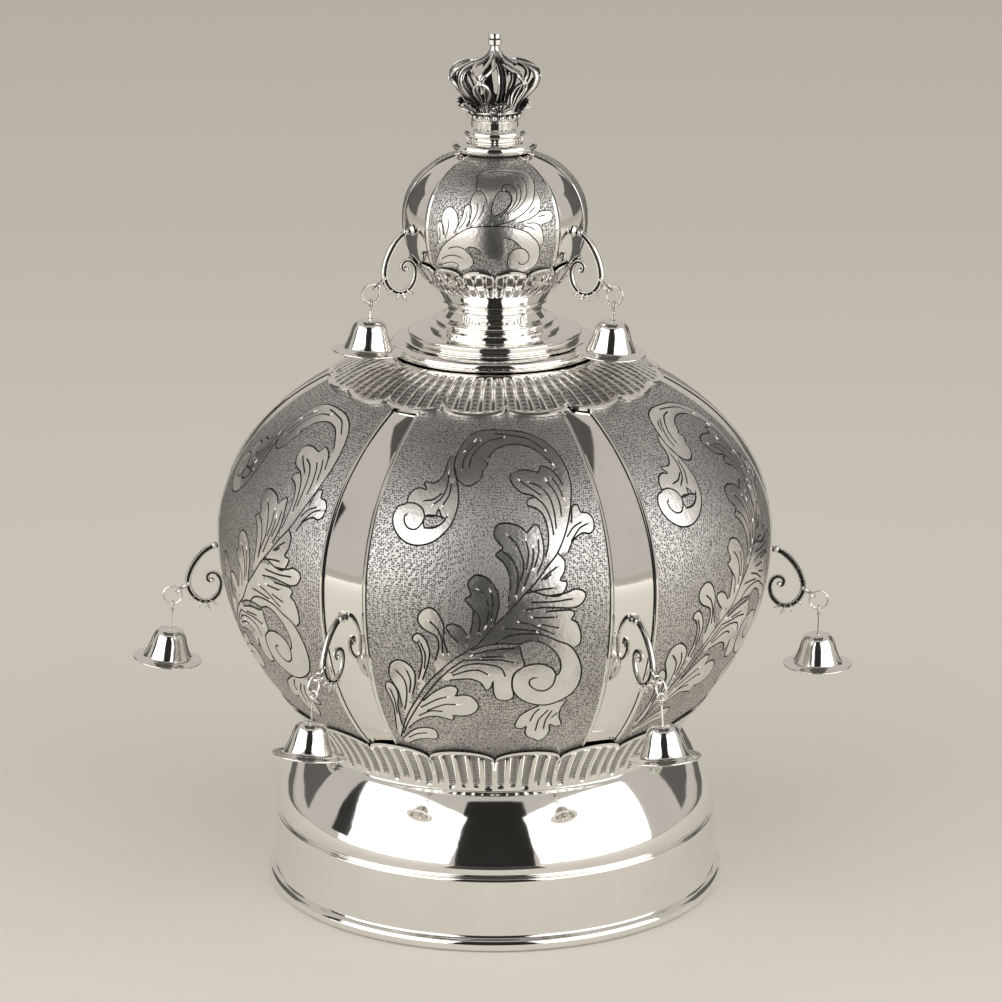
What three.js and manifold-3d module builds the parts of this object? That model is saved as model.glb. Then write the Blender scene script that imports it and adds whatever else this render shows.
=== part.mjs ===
// Torah crown in silver, millimetres, +Z up, standing on the plane z = 0.
// A ribbed globe on a hollow base, a smaller globe on a turned neck above it, a cast openwork
// crown on top, and nine scroll arms that each hang a bell from a jump ring.
import * as THREE from "three";
import { mergeVertices } from "three/addons/utils/BufferGeometryUtils.js";
import Module from "manifold-3d";

const wasm = await Module();
wasm.setup();

// ---- Driving dimensions -------------------------------------------------------------------

const BASE_RADIUS = 100;
const GAP = 0.3;

const LARGE_GLOBE = {
  radius: 119.2, centre: 156, above: 84, below: 107, powerAbove: 2.05, powerBelow: 2.05,
  top: 42, foot: 73.4, wall: 0.7, ribs: 6, ribStart: 28.6, ribHalf: 5.6, ribDepth: 0.9,
};

const SMALL_GLOBE = {
  radius: 39.2, centre: 292.6, above: 30.5, below: 36, powerAbove: 2.25, powerBelow: 2.0,
  top: 9, foot: 268.5, wall: 0.7, ribs: 3, ribStart: 58, ribHalf: 17, ribDepth: 0.5,
};

const BASE_COLLAR = { scallops: 20, flutes: 3, depth: 0.9 };
const SKIRT = { scallops: 16, flutes: 3, depth: 0.8, radius: 72.5, bore: 40, thickness: 1.0, shift: 4 };
const CUP_COLLAR = { scallops: 16, flutes: 2, depth: 0.7 };

const LOWER_ARMS = { count: 6, start: 28.6, height: 147.5, tilt: 0, drop: 11 };
const UPPER_ARMS = { count: 3, start: 58, height: 291, tilt: -6, drop: 6.5 };

// How far each bell swings outward, in degrees, going round from the arm at front right.
const LOWER_SWINGS = [8, 0, 3, 4, 6.5, 10];
const UPPER_SWINGS = [-4, 1, 4];

const EYE = { radius: 1.75, wire: 0.6, u: 18.8, w: -19.9 };
const JUMP_RING = { radius: 4.0, wire: 0.5, u: 22, w: -22.5 };
const HANGER = { loop: 1.5, wire: 0.42, ball: 1.9 };
const BELL = { height: 15, rim: 15.6, mouth: 9.9, waist: 7.0, crown: 4.6, wall: 0.7, bore: 0.95 };

const SILVER = { color: 0xe9e7e2, roughness: 0.14, metalness: 1 };
const CHASED = { color: 0xb9b7b2, roughness: 0.34, metalness: 1 };

const crown = new THREE.Group();
crown.name = "torah_crown";

// ---- Small helpers ------------------------------------------------------------------------

function radians(degrees) {
  return THREE.MathUtils.degToRad(degrees);
}

// The heading is measured from the front (-Y) toward +X.
function spot(radius, heading, z) {
  const angle = radians(heading);
  return new THREE.Vector3(radius * Math.sin(angle), -radius * Math.cos(angle), z);
}

function addPiece(name, geometry, finish, parent = crown) {
  const mesh = new THREE.Mesh(geometry, new THREE.MeshStandardMaterial(finish));
  mesh.name = name;
  parent.add(mesh);
  return mesh;
}

function evenHeadings(count) {
  return Array.from({ length: count }, (_, i) => (i * 360) / count);
}

// A ring is a level loop: its headings and the point at each of them.
function ring(headings, pointAt) {
  return { headings, points: headings.map((heading) => pointAt(heading)) };
}

function plainRing(radius, z, headings) {
  return ring(headings, (heading) => spot(radius, heading, z));
}

// Joins two rings with any numbers of points, always taking the nearer next heading.
function stitch(lower, upper, lowerStart, upperStart, faces) {
  const m = lower.points.length;
  const n = upper.points.length;
  const headingOf = (loop, i) => loop.headings[i % loop.headings.length] + 360 * Math.floor(i / loop.headings.length);
  let i = 0;
  let j = 0;
  while (i < m || j < n) {
    const a = lowerStart + (i % m);
    const b = upperStart + (j % n);
    const stepLower = j >= n || (i < m && headingOf(lower, i + 1) <= headingOf(upper, j + 1) + 1e-9);
    if (stepLower) {
      faces.push(a, lowerStart + ((i + 1) % m), b);
      i += 1;
    } else {
      faces.push(a, upperStart + ((j + 1) % n), b);
      j += 1;
    }
  }
}

// A closed skin over a list of rings; with `wrap` the last ring is joined back to the first.
function skin(rings, wrap) {
  const positions = [];
  const starts = [];
  for (const loop of rings) {
    starts.push(positions.length / 3);
    loop.points.forEach((p) => positions.push(p.x, p.y, p.z));
  }
  const faces = [];
  for (let k = 0; k + 1 < rings.length; k += 1) {
    stitch(rings[k], rings[k + 1], starts[k], starts[k + 1], faces);
  }
  if (wrap) {
    stitch(rings[rings.length - 1], rings[0], starts[rings.length - 1], starts[0], faces);
  } else {
    capRing(rings[0], starts[0], positions, faces, true);
    capRing(rings[rings.length - 1], starts[rings.length - 1], positions, faces, false);
  }
  const geometry = new THREE.BufferGeometry();
  geometry.setAttribute("position", new THREE.Float32BufferAttribute(positions, 3));
  geometry.setIndex(faces);
  return outward(geometry);
}

function capRing(loop, start, positions, faces, isFirst) {
  const middle = new THREE.Vector3();
  loop.points.forEach((p) => middle.add(p));
  middle.divideScalar(loop.points.length);
  const hub = positions.length / 3;
  positions.push(middle.x, middle.y, middle.z);
  for (let i = 0; i < loop.points.length; i += 1) {
    const next = start + ((i + 1) % loop.points.length);
    if (isFirst) {
      faces.push(start + i, hub, next);
    } else {
      faces.push(hub, start + i, next);
    }
  }
}

// Turns the faces round when the enclosed volume comes out negative.
function outward(geometry) {
  const p = geometry.getAttribute("position");
  const index = geometry.getIndex();
  const [a, b, c] = [new THREE.Vector3(), new THREE.Vector3(), new THREE.Vector3()];
  let volume = 0;
  for (let i = 0; i < index.count; i += 3) {
    a.fromBufferAttribute(p, index.getX(i));
    b.fromBufferAttribute(p, index.getX(i + 1));
    c.fromBufferAttribute(p, index.getX(i + 2));
    volume += a.dot(b.cross(c));
  }
  if (volume < 0) {
    for (let i = 0; i < index.count; i += 3) {
      const kept = index.getX(i);
      index.setX(i, index.getX(i + 1));
      index.setX(i + 1, kept);
    }
  }
  geometry.computeVertexNormals();
  return geometry;
}

// A turned piece from a closed [radius, z] outline that stays off the axis.
function turned(outline, count) {
  const headings = evenHeadings(count);
  return skin(outline.map(([radius, z]) => plainRing(radius, z, headings)), true);
}

// The right half of a round moulding, from its lower to its upper point.
function moulding(radius, z, bulge, height, steps) {
  return Array.from({ length: steps + 1 }, (_, i) => {
    const angle = (-0.5 + i / steps) * Math.PI;
    return [radius + bulge * Math.cos(angle), z + 0.5 * height * Math.sin(angle)];
  });
}

// A round bar along a curve; the radius may change along it.
function bar(curve, radiusAt, steps, sides) {
  const frames = curve.computeFrenetFrames(steps, false);
  const headings = evenHeadings(sides);
  const rings = [];
  for (let i = 0; i <= steps; i += 1) {
    const t = i / steps;
    const centre = curve.getPointAt(t);
    const radius = radiusAt(t);
    rings.push(ring(headings, (heading) => {
      const angle = radians(heading);
      return centre.clone()
        .addScaledVector(frames.normals[i], radius * Math.cos(angle))
        .addScaledVector(frames.binormals[i], radius * Math.sin(angle));
    }));
  }
  return skin(rings, false);
}

// A closed wire loop whose axis is `axis`.
function loopOfWire(centre, axis, radius, wire, steps, sides) {
  const geometry = new THREE.TorusGeometry(radius, wire, sides, steps);
  geometry.deleteAttribute("uv");
  geometry.deleteAttribute("normal");
  const turn = new THREE.Quaternion().setFromUnitVectors(new THREE.Vector3(0, 0, 1), axis);
  geometry.applyQuaternion(turn);
  geometry.translate(centre.x, centre.y, centre.z);
  return outward(mergeVertices(geometry, 1e-4));
}

function ball(centre, radius, columns, rows) {
  const geometry = new THREE.SphereGeometry(radius, columns, rows);
  geometry.deleteAttribute("uv");
  geometry.deleteAttribute("normal");
  geometry.rotateX(Math.PI / 2);
  geometry.translate(centre.x, centre.y, centre.z);
  return outward(mergeVertices(geometry, 1e-4));
}

function toManifold(geometry) {
  const bare = new THREE.BufferGeometry();
  bare.setAttribute("position", geometry.getAttribute("position"));
  bare.setIndex(geometry.getIndex());
  const merged = mergeVertices(bare, 1e-4);
  return new wasm.Manifold(new wasm.Mesh({
    numProp: 3,
    vertProperties: new Float32Array(merged.getAttribute("position").array),
    triVerts: new Uint32Array(merged.getIndex().array),
  }));
}

function fused(geometries) {
  const body = geometries.map(toManifold).reduce((sum, solid) => sum.add(solid));
  const mesh = body.getMesh();
  const geometry = new THREE.BufferGeometry();
  geometry.setAttribute("position", new THREE.Float32BufferAttribute(mesh.vertProperties, 3));
  geometry.setIndex(Array.from(mesh.triVerts));
  geometry.computeVertexNormals();
  return geometry;
}

// ---- Globes -------------------------------------------------------------------------------

// Radius of a globe at height z; its halves are superellipses that meet at the equator.
function globeRadius(globe, z) {
  const above = z >= globe.centre;
  const reach = above ? globe.above : globe.below;
  const power = above ? globe.powerAbove : globe.powerBelow;
  const share = Math.min(1, Math.abs(z - globe.centre) / reach);
  return globe.radius * Math.pow(1 - Math.pow(share, power), 1 / power);
}

// Height on a globe's upper half where it has this radius.
function globeTopAt(globe, radius) {
  const share = Math.pow(radius / globe.radius, globe.powerAbove);
  return globe.centre + globe.above * Math.pow(1 - share, 1 / globe.powerAbove);
}

// Headings with a pair of close steps at each side of every rib.
function ribbedHeadings(globe, panelSteps) {
  const pitch = 360 / globe.ribs;
  const edge = Math.min(1.2, globe.ribHalf * 0.2);
  const headings = [];
  for (let rib = 0; rib < globe.ribs; rib += 1) {
    const centre = globe.ribStart + rib * pitch;
    headings.push(centre - globe.ribHalf, centre - globe.ribHalf + edge, centre);
    headings.push(centre + globe.ribHalf - edge, centre + globe.ribHalf);
    const panel = pitch - 2 * globe.ribHalf;
    for (let i = 1; i < panelSteps; i += 1) {
      headings.push(centre + globe.ribHalf + (panel * i) / panelSteps);
    }
  }
  return headings;
}

function isRib(globe, heading) {
  const pitch = 360 / globe.ribs;
  const turn = ((((heading - globe.ribStart) % pitch) + pitch * 1.5) % pitch) - pitch / 2;
  return Math.abs(turn) < globe.ribHalf - 1e-6;
}

// A hollow globe, open at its top and its foot.
function ribbedGlobe(globe, rows, panelSteps, innerColumns, innerRows) {
  const outer = ribbedHeadings(globe, panelSteps);
  const inner = evenHeadings(innerColumns);
  const topZ = globeTopAt(globe, globe.top);
  const rings = [];
  for (let i = 0; i <= rows; i += 1) {
    const t = i / rows;
    const z = heightAlong(globe, globe.foot, topZ, t);
    const radius = i === rows ? globe.top : globeRadius(globe, z);
    rings.push(ring(outer, (heading) => {
      const sunk = isRib(globe, heading) ? globe.ribDepth * Math.sin(Math.PI * (0.1 + 0.8 * t)) : 0;
      return spot(radius - sunk, heading, z);
    }));
  }
  const hollow = { ...globe, radius: globe.radius - globe.ribDepth - globe.wall,
    above: globe.above - globe.wall - 0.4, below: globe.below - globe.wall };
  const hollowTop = globe.top - 0.2;
  for (let i = innerRows; i >= 0; i -= 1) {
    const z = heightAlong(hollow, globe.foot, globeTopAt(hollow, hollowTop), i / innerRows);
    rings.push(plainRing(i === innerRows ? hollowTop : globeRadius(hollow, z), z, inner));
  }
  return skin(rings, true);
}

// Heights packed toward the two ends, where a globe curves in fastest.
function heightAlong(globe, foot, top, t) {
  const low = Math.asin(THREE.MathUtils.clamp((foot - globe.centre) / globe.below, -1, 1));
  const high = Math.asin(THREE.MathUtils.clamp((top - globe.centre) / globe.above, -1, 1));
  const angle = low + (high - low) * t;
  return globe.centre + (angle < 0 ? globe.below : globe.above) * Math.sin(angle);
}

addPiece("large_globe", ribbedGlobe(LARGE_GLOBE, 8, 5, 24, 5), CHASED);
addPiece("small_globe", ribbedGlobe(SMALL_GLOBE, 6, 4, 12, 3), CHASED);

// ---- Fluted, scalloped edges --------------------------------------------------------------

// 0 in the notch between two scallops, 1 along most of each scallop.
function scallop(heading, count) {
  const phase = ((heading * count) / 360) % 1;
  const turn = Math.abs(2 * (phase < 0 ? phase + 1 : phase) - 1);
  return Math.pow(Math.max(0, 1 - turn * turn), 0.45);
}

// 1 on the crest of a flute, 0 in the groove next to it.
function flute(heading, count) {
  return 0.5 - 0.5 * Math.cos(radians(heading * count));
}

function fluteHeadings(collar) {
  return evenHeadings(collar.scallops * collar.flutes * 2);
}

// ---- Base: rolled rim, plain band, bulging shoulder and the leaf collar that holds the globe

function baseRing() {
  const round = evenHeadings(36);
  const fine = fluteHeadings(BASE_COLLAR);
  const flutes = BASE_COLLAR.scallops * BASE_COLLAR.flutes;
  const rings = [];
  const plain = (radius, z) => rings.push(plainRing(radius, z, round));
  plain(BASE_RADIUS - 6.2, 0);
  plain(BASE_RADIUS - 2.4, 0);
  plain(BASE_RADIUS, 1.9);
  plain(BASE_RADIUS, 4.1);
  plain(BASE_RADIUS - 2.4, 6.0);
  plain(BASE_RADIUS - 3.5, 31);
  plain(BASE_RADIUS - 6.1, 32.5);
  plain(95.9, 37.5);
  plain(94.6, 43.5);
  plain(91.4, 50);
  plain(86.6, 57.6);
  plain(81, 64.5);
  rings.push(ring(fine, (heading) => {
    const sunk = BASE_COLLAR.depth * (1 - flute(heading, flutes));
    return spot(84.6 - sunk, heading, 75);
  }));
  rings.push(ring(fine, (heading) => {
    const lift = scallop(heading, BASE_COLLAR.scallops);
    const radius = THREE.MathUtils.lerp(88.2, 93.9, lift);
    return spot(radius, heading, THREE.MathUtils.lerp(80.4, 87, lift));
  }));
  plain(globeRadius(LARGE_GLOBE, 77.5) + GAP + 0.5, 77.5);
  plain(79.6, 72.9);
  plain(73.6, 72.9);
  plain(73.6, 71.6);
  plain(79.7, 69);
  plain(79.7, 64);
  plain(89.2, 50);
  plain(94.4, 38);
  plain(92.4, 32);
  plain(BASE_RADIUS - 5.6, 29);
  return skin(rings, true);
}

addPiece("base_ring", baseRing(), SILVER);

// ---- Skirt: the fluted leaf ring lying on top of the large globe --------------------------

function leafSkirt() {
  const fine = fluteHeadings(SKIRT);
  const round = evenHeadings(24);
  const flutes = SKIRT.scallops * SKIRT.flutes;
  const seat = (radius) => globeTopAt(LARGE_GLOBE, radius) + GAP;
  const flat = seat(52);
  const under = (radius) => Math.max(seat(radius), seat(LARGE_GLOBE.top));
  const rim = (inset, lift) => ring(fine, (heading) => {
    const notch = 1 - scallop(heading - SKIRT.shift, SKIRT.scallops);
    const radius = SKIRT.radius - inset - 5 * notch;
    return spot(radius, heading, seat(radius) + lift);
  });
  const ridge = (radius, share) => ring(fine, (heading) => {
    const crest = SKIRT.depth * share * flute(heading - SKIRT.shift, flutes);
    return spot(radius, heading, seat(radius) + SKIRT.thickness + crest);
  });
  const rings = [
    rim(0, 0),
    rim(0, SKIRT.thickness),
    ridge(63, 1),
    plainRing(45.5, seat(45.5) + SKIRT.thickness, round),
    plainRing(SKIRT.bore, seat(45.5) + SKIRT.thickness, round),
    plainRing(SKIRT.bore, seat(SKIRT.bore + 2), round),
    plainRing(46, under(44), round),
    plainRing(54, flat, round),
  ];
  return skin(rings, true);
}

addPiece("neck_skirt", leafSkirt(), CHASED);

// ---- Neck: stepped rings, a waist, and the fluted cup that holds the small globe ----------

const NECK_FOOT = globeTopAt(LARGE_GLOBE, 45.5) + 2 * GAP + SKIRT.thickness;

function neck() {
  const round = evenHeadings(20);
  const fine = fluteHeadings(CUP_COLLAR);
  const flutes = CUP_COLLAR.scallops * CUP_COLLAR.flutes;
  const rings = [];
  const plain = (radius, z) => rings.push(plainRing(radius, z, round));
  const turnedPart = (outline) => outline.forEach(([radius, z]) => plain(radius, z));
  plain(39, NECK_FOOT);
  turnedPart(moulding(42, NECK_FOOT + 2.6, 2.8, 5.2, 3));
  plain(38.4, 241.0);
  plain(36.7, 241.8);
  plain(36.7, 245.0);
  plain(29.2, 246.0);
  plain(27.7, 247.2);
  plain(26.4, 248.3);
  plain(24.6, 250.2);
  plain(20.0, 253.2);
  plain(20.2, 256.8);
  plain(22.2, 258.2);
  plain(25.0, 263.4);
  rings.push(ring(fine, (heading) => {
    const sunk = CUP_COLLAR.depth * (1 - flute(heading, flutes));
    return spot(30.6 - sunk, heading, 268.6);
  }));
  rings.push(cupEdge(fine));
  plain(31.2, 269.2);
  plain(24.0, 264.8);
  plain(18.4, 256);
  plain(27.0, 245.0);
  plain(35.8, 241.0);
  return skin(rings, true);
}

function cupEdge(headings) {
  return ring(headings, (heading) => {
    const lift = scallop(heading, CUP_COLLAR.scallops);
    const z = THREE.MathUtils.lerp(273.4, 277.6, lift);
    return spot(globeRadius(SMALL_GLOBE, z) + 1.5, heading, z);
  });
}

addPiece("neck", neck(), SILVER);

// ---- Finial stem: stacked turned rings on top of the small globe --------------------------

const STEM_FOOT = globeTopAt(SMALL_GLOBE, 14) + GAP;
const STEM_TOP = 335.4;

function finialStem() {
  const outline = [
    [11.5, STEM_FOOT],
    ...moulding(15.0, STEM_FOOT + 2.3, 2.7, 4.6, 3),
    [11.6, STEM_FOOT + 5.4],
    ...moulding(11.0, STEM_FOOT + 7.9, 1.8, 3.4, 2),
    [9.9, STEM_FOOT + 10.0],
    [9.9, STEM_TOP],
    [8.6, STEM_TOP],
    [8.6, STEM_FOOT + 1.2],
  ];
  return turned(outline, 16);
}

addPiece("finial_stem", finialStem(), SILVER);

// ---- Cast openwork crown ------------------------------------------------------------------

const CORONET = {
  foot: STEM_TOP + GAP, ringRadius: 10.2, bead: 1.25, arches: 6, start: 10,
  belly: 18.6, bellyZ: 354, throat: 3.0, throatZ: 363.2, top: 371.6,
};

// A curve in the upright plane at one heading, through [radius, z] points.
function uprightCurve(heading, outline) {
  return new THREE.CatmullRomCurve3(outline.map(([radius, z]) => spot(radius, heading, z)));
}

function beadRing() {
  const { foot, ringRadius, bead } = CORONET;
  return turned([
    [ringRadius - 1.0, foot], [ringRadius + 0.4, foot], [ringRadius + bead, foot + 1.4],
    [ringRadius + 0.3, foot + 4.2], [ringRadius - 1.0, foot + 4.2],
  ], 16);
}

// Strap from the ring out over the belly and in to the throat.
function strap(heading) {
  const { foot, belly, bellyZ, throat, throatZ, ringRadius } = CORONET;
  const path = uprightCurve(heading, [
    [ringRadius - 0.2, foot + 3.4], [13.6, foot + 9.5], [belly, bellyZ - 2.5],
    [belly - 2.0, bellyZ + 4.0], [belly - 9.5, bellyZ + 6.4], [throat - 0.6, throatZ + 1],
  ]);
  return bar(path, (t) => 1.15 + 0.35 * Math.sin(Math.PI * t), 5, 4);
}

function shell(heading) {
  const { foot, ringRadius } = CORONET;
  const path = uprightCurve(heading, [[ringRadius - 0.1, foot + 3.2], [12.6, foot + 8.8]]);
  return bar(path, (t) => 1.6 + 1.7 * t, 1, 4);
}

// Two wires rise in a V from the ring, meet at the knob and run on together to the throat.
function teardrop(heading) {
  const { foot, belly, bellyZ, throat, throatZ, ringRadius } = CORONET;
  const knob = spot(belly + 0.9, heading, bellyZ - 0.6);
  const sides = [-1, 1].map((side) => new THREE.CatmullRomCurve3([
    spot(ringRadius, heading + side * 3, foot + 3.4),
    spot(14.2, heading + side * 13, foot + 11),
    spot(belly - 0.4, heading + side * 7, bellyZ - 2.6),
    knob,
  ]));
  const over = uprightCurve(heading, [
    [belly + 0.6, bellyZ - 0.6], [belly - 4.5, bellyZ + 5.0], [throat - 0.8, throatZ],
  ]);
  const wires = sides.map((path) => bar(path, () => 0.7, 2, 3));
  return [...wires, bar(over, () => 0.75, 2, 3), ball(knob, 1.35, 4, 2)];
}

function throatAndKnob() {
  const { throat, throatZ, top } = CORONET;
  const headings = evenHeadings(6);
  const outline = [
    [4.4, throatZ - 1.6], [throat, throatZ + 0.6], [2.0, throatZ + 3.4], [2.9, top - 4.2],
    [2.6, top - 0.4], [1.8, top],
  ];
  return skin(outline.map(([radius, z]) => plainRing(radius, z, headings)), false);
}

function coronet() {
  const parts = [beadRing(), throatAndKnob()];
  for (let i = 0; i < CORONET.arches; i += 1) {
    const heading = CORONET.start + (360 / CORONET.arches) * i;
    parts.push(strap(heading), shell(heading));
    parts.push(...teardrop(heading + 180 / CORONET.arches));
  }
  return fused(parts);
}

addPiece("mini_crown", coronet(), SILVER);

// ---- Scroll arms with their rings, hangers and bells --------------------------------------

// In an arm's own frame u runs out from the globe, w runs up and v goes across.
function armPoint(u, w) {
  return new THREE.Vector3(u, 0, w);
}

// The scroll leaves the foot, runs out and round underneath, and ends in a volute inside.
function scroll() {
  const outline = [
    [0.6, 0.6], [4.0, 0.2], [9.6, -4.4], [13.8, -10.8], [14.9, -17.2], [12.4, -22.6],
    [7.4, -25.0], [2.6, -22.8], [0.6, -17.6], [2.2, -13.0], [5.2, -12.0], [6.6, -14.6], [4.6, -16.2],
  ];
  const path = new THREE.CatmullRomCurve3(outline.map(([u, w]) => armPoint(u, w)));
  return bar(path, (t) => 1.3 - 0.35 * t, 11, 4);
}

function arm() {
  const foot = new THREE.LineCurve3(armPoint(0, 0.6), armPoint(1.4, 0.6));
  const spur = new THREE.LineCurve3(armPoint(7.4, -24.6), armPoint(6.0, -29.6));
  const lug = new THREE.LineCurve3(armPoint(14.6, -16.4), armPoint(EYE.u - 1.2, EYE.w + 0.9));
  const across = new THREE.Vector3(EYE.w - JUMP_RING.w, 0, JUMP_RING.u - EYE.u).normalize();
  return fused([
    scroll(),
    bar(foot, (t) => 2.6 - 0.9 * t, 1, 5),
    bar(spur, (t) => 1.2 - 0.8 * t, 1, 3),
    bar(lug, () => 0.8, 1, 3),
    loopOfWire(armPoint(EYE.u, EYE.w), across, EYE.radius, EYE.wire, 6, 3),
  ]);
}

// The hanger's local origin is where its loop rests on the jump ring.
function hanger(drop) {
  const reach = -drop - BELL.height + 4.6;
  const rod = new THREE.LineCurve3(armPoint(0, -HANGER.loop), armPoint(0, reach));
  return fused([
    loopOfWire(armPoint(0, 0), new THREE.Vector3(1, 0, 0), HANGER.loop, HANGER.wire, 6, 3),
    bar(rod, () => HANGER.wire, 1, 3),
    ball(armPoint(0, reach), HANGER.ball, 5, 2),
  ]);
}

// The bell's mouth is at local z = 0.
function bell() {
  const { height, rim, mouth, waist, crown: top, wall, bore } = BELL;
  const outline = [
    [rim, 0.4], [rim, 1.0], [mouth, 2.2], [waist, height - 2.6], [top, height],
    [bore, height], [bore, height - wall], [waist - wall, height - 2.9], [mouth - wall, 1.2],
  ];
  return turned(outline, 10);
}

const ARM_GEOMETRY = arm();
const BELL_GEOMETRY = bell();
const RING_GEOMETRY = loopOfWire(
  armPoint(0, 0), new THREE.Vector3(0, 1, 0), JUMP_RING.radius, JUMP_RING.wire, 8, 3,
);

function addArm(prefix, globe, arms, index, swing, hangerGeometry) {
  const heading = arms.start + (360 / arms.count) * index;
  const bracket = new THREE.Group();
  bracket.position.copy(spot(globeRadius(globe, arms.height) - globe.ribDepth * 0.7 + GAP, heading, arms.height));
  bracket.rotation.z = radians(heading - 90);
  crown.add(bracket);

  const tilted = new THREE.Group();
  tilted.rotation.y = radians(-arms.tilt);
  bracket.add(tilted);
  addPiece(`${prefix}_arm_${index + 1}`, ARM_GEOMETRY, SILVER, tilted);
  const jumpRing = addPiece(`${prefix}_ring_${index + 1}`, RING_GEOMETRY, SILVER, tilted);
  jumpRing.position.copy(armPoint(JUMP_RING.u, JUMP_RING.w));

  const centre = armPoint(JUMP_RING.u, JUMP_RING.w);
  centre.applyAxisAngle(new THREE.Vector3(0, 1, 0), radians(-arms.tilt));
  const hung = new THREE.Group();
  hung.position.set(centre.x, 0, centre.z - JUMP_RING.radius);
  hung.rotation.y = radians(-swing);
  bracket.add(hung);
  addPiece(`${prefix}_hanger_${index + 1}`, hangerGeometry, SILVER, hung);
  const cup = addPiece(`${prefix}_bell_${index + 1}`, BELL_GEOMETRY, SILVER, hung);
  cup.position.z = -arms.drop - BELL.height;
}

const LOWER_HANGER = hanger(LOWER_ARMS.drop);
const UPPER_HANGER = hanger(UPPER_ARMS.drop);

for (let i = 0; i < LOWER_ARMS.count; i += 1) {
  addArm("lower", LARGE_GLOBE, LOWER_ARMS, i, LOWER_SWINGS[i], LOWER_HANGER);
}
for (let i = 0; i < UPPER_ARMS.count; i += 1) {
  addArm("upper", SMALL_GLOBE, UPPER_ARMS, i, UPPER_SWINGS[i], UPPER_HANGER);
}

export default crown;
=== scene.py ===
"""Silver Torah crown: chased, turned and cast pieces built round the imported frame."""

import math

import bpy
import numpy as np
from bpy.props import FloatProperty, FloatVectorProperty, IntProperty, PointerProperty
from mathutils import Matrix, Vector
from mathutils.geometry import delaunay_2d_cdt


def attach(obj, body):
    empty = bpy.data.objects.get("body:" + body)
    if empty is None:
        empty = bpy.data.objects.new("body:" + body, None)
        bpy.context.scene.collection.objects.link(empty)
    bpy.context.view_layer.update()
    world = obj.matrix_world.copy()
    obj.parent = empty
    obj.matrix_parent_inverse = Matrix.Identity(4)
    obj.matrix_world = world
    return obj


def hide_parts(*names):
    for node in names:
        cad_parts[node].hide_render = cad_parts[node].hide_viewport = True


bl_info = {
    "name": "Torah crown",
    "version": (1, 0, 0),
    "blender": (4, 5, 0),
    "location": "3D View > Sidebar > Crown",
    "description": "Builds the chased, turned and cast silver pieces of a Torah crown",
    "category": "Object",
}

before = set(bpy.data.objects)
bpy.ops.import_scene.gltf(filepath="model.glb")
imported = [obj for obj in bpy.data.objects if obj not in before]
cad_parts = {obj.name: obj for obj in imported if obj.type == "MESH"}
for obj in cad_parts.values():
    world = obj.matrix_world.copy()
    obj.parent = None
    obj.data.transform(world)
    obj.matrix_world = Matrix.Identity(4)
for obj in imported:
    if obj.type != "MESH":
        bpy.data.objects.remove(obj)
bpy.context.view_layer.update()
MM = 0.001

# ---- Driving dimensions, millimetres ------------------------------------------------------

BASE_RADIUS = 100.0
LARGE = {
    "radius": 119.2, "centre": 156.0, "above": 84.0, "below": 107.0, "power_above": 2.05,
    "power_below": 2.05, "top": 42.0, "foot": 73.4, "ribs": 6, "rib_start": 28.6, "rib_half": 5.6,
}
SMALL = {
    "radius": 39.2, "centre": 292.6, "above": 30.5, "below": 36.0, "power_above": 2.25,
    "power_below": 2.0, "top": 9.0, "foot": 268.5, "ribs": 3, "rib_start": 58.0, "rib_half": 17.0,
}
SKIRT = {"radius": 72.5, "bore": 40.0, "thickness": 1.0, "shift": 4.0, "notch": 5.0}
LOWER_ARMS = {
    "count": 6, "start": 28.6, "height": 147.5, "tilt": 0.0, "drop": 11.0, "inset": 0.63,
    "swings": (8.0, 0.0, 3.0, 4.0, 6.5, 10.0),
}
UPPER_ARMS = {
    "count": 3, "start": 58.0, "height": 291.0, "tilt": -6.0, "drop": 6.5, "inset": 0.35,
    "swings": (-4.0, 1.0, 4.0),
}
EYE = {"radius": 1.75, "wire": 0.6, "u": 18.8, "w": -19.9}
JUMP_RING = {"radius": 4.0, "wire": 0.5, "u": 22.0, "w": -22.5}
HANGER = {"loop": 1.5, "wire": 0.4, "wrap": 0.5, "wrap_wire": 0.22, "turns": 3.5, "clapper_rise": 4.6}
BELL_HEIGHT = 15.0
STEM_TOP = 335.4
CORONET = {"foot": 335.7, "arches": 6, "start": 10.0, "top": 371.6}
GAP = 0.3
GLOBE_WALL = 0.7
RIB_BORDER = 1.2

# ---- Driving dimensions of the stage, metres ------------------------------------------------

CAMERA = {"place": (0.0026, -1.6, 0.62), "tilt": 74.246, "lens": 138.41, "sensor": 36.0, "reach": 60.0}
SOFT_BOX = {
    "heading": 54.0, "height": 0.72, "distance": 1.5, "size": (2.0, 1.4), "aim": 0.35,
    "tint": (1.0, 0.99, 0.975),
}
FLOOR_RADIUS = 9.0

# ---- Chased ornament: panel coordinates in millimetres -------------------------------------
# The first number runs round the globe from the panel's heading, the second up from the
# equator. A leaf is an engraved outline and the root points that close it on the stem.

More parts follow.
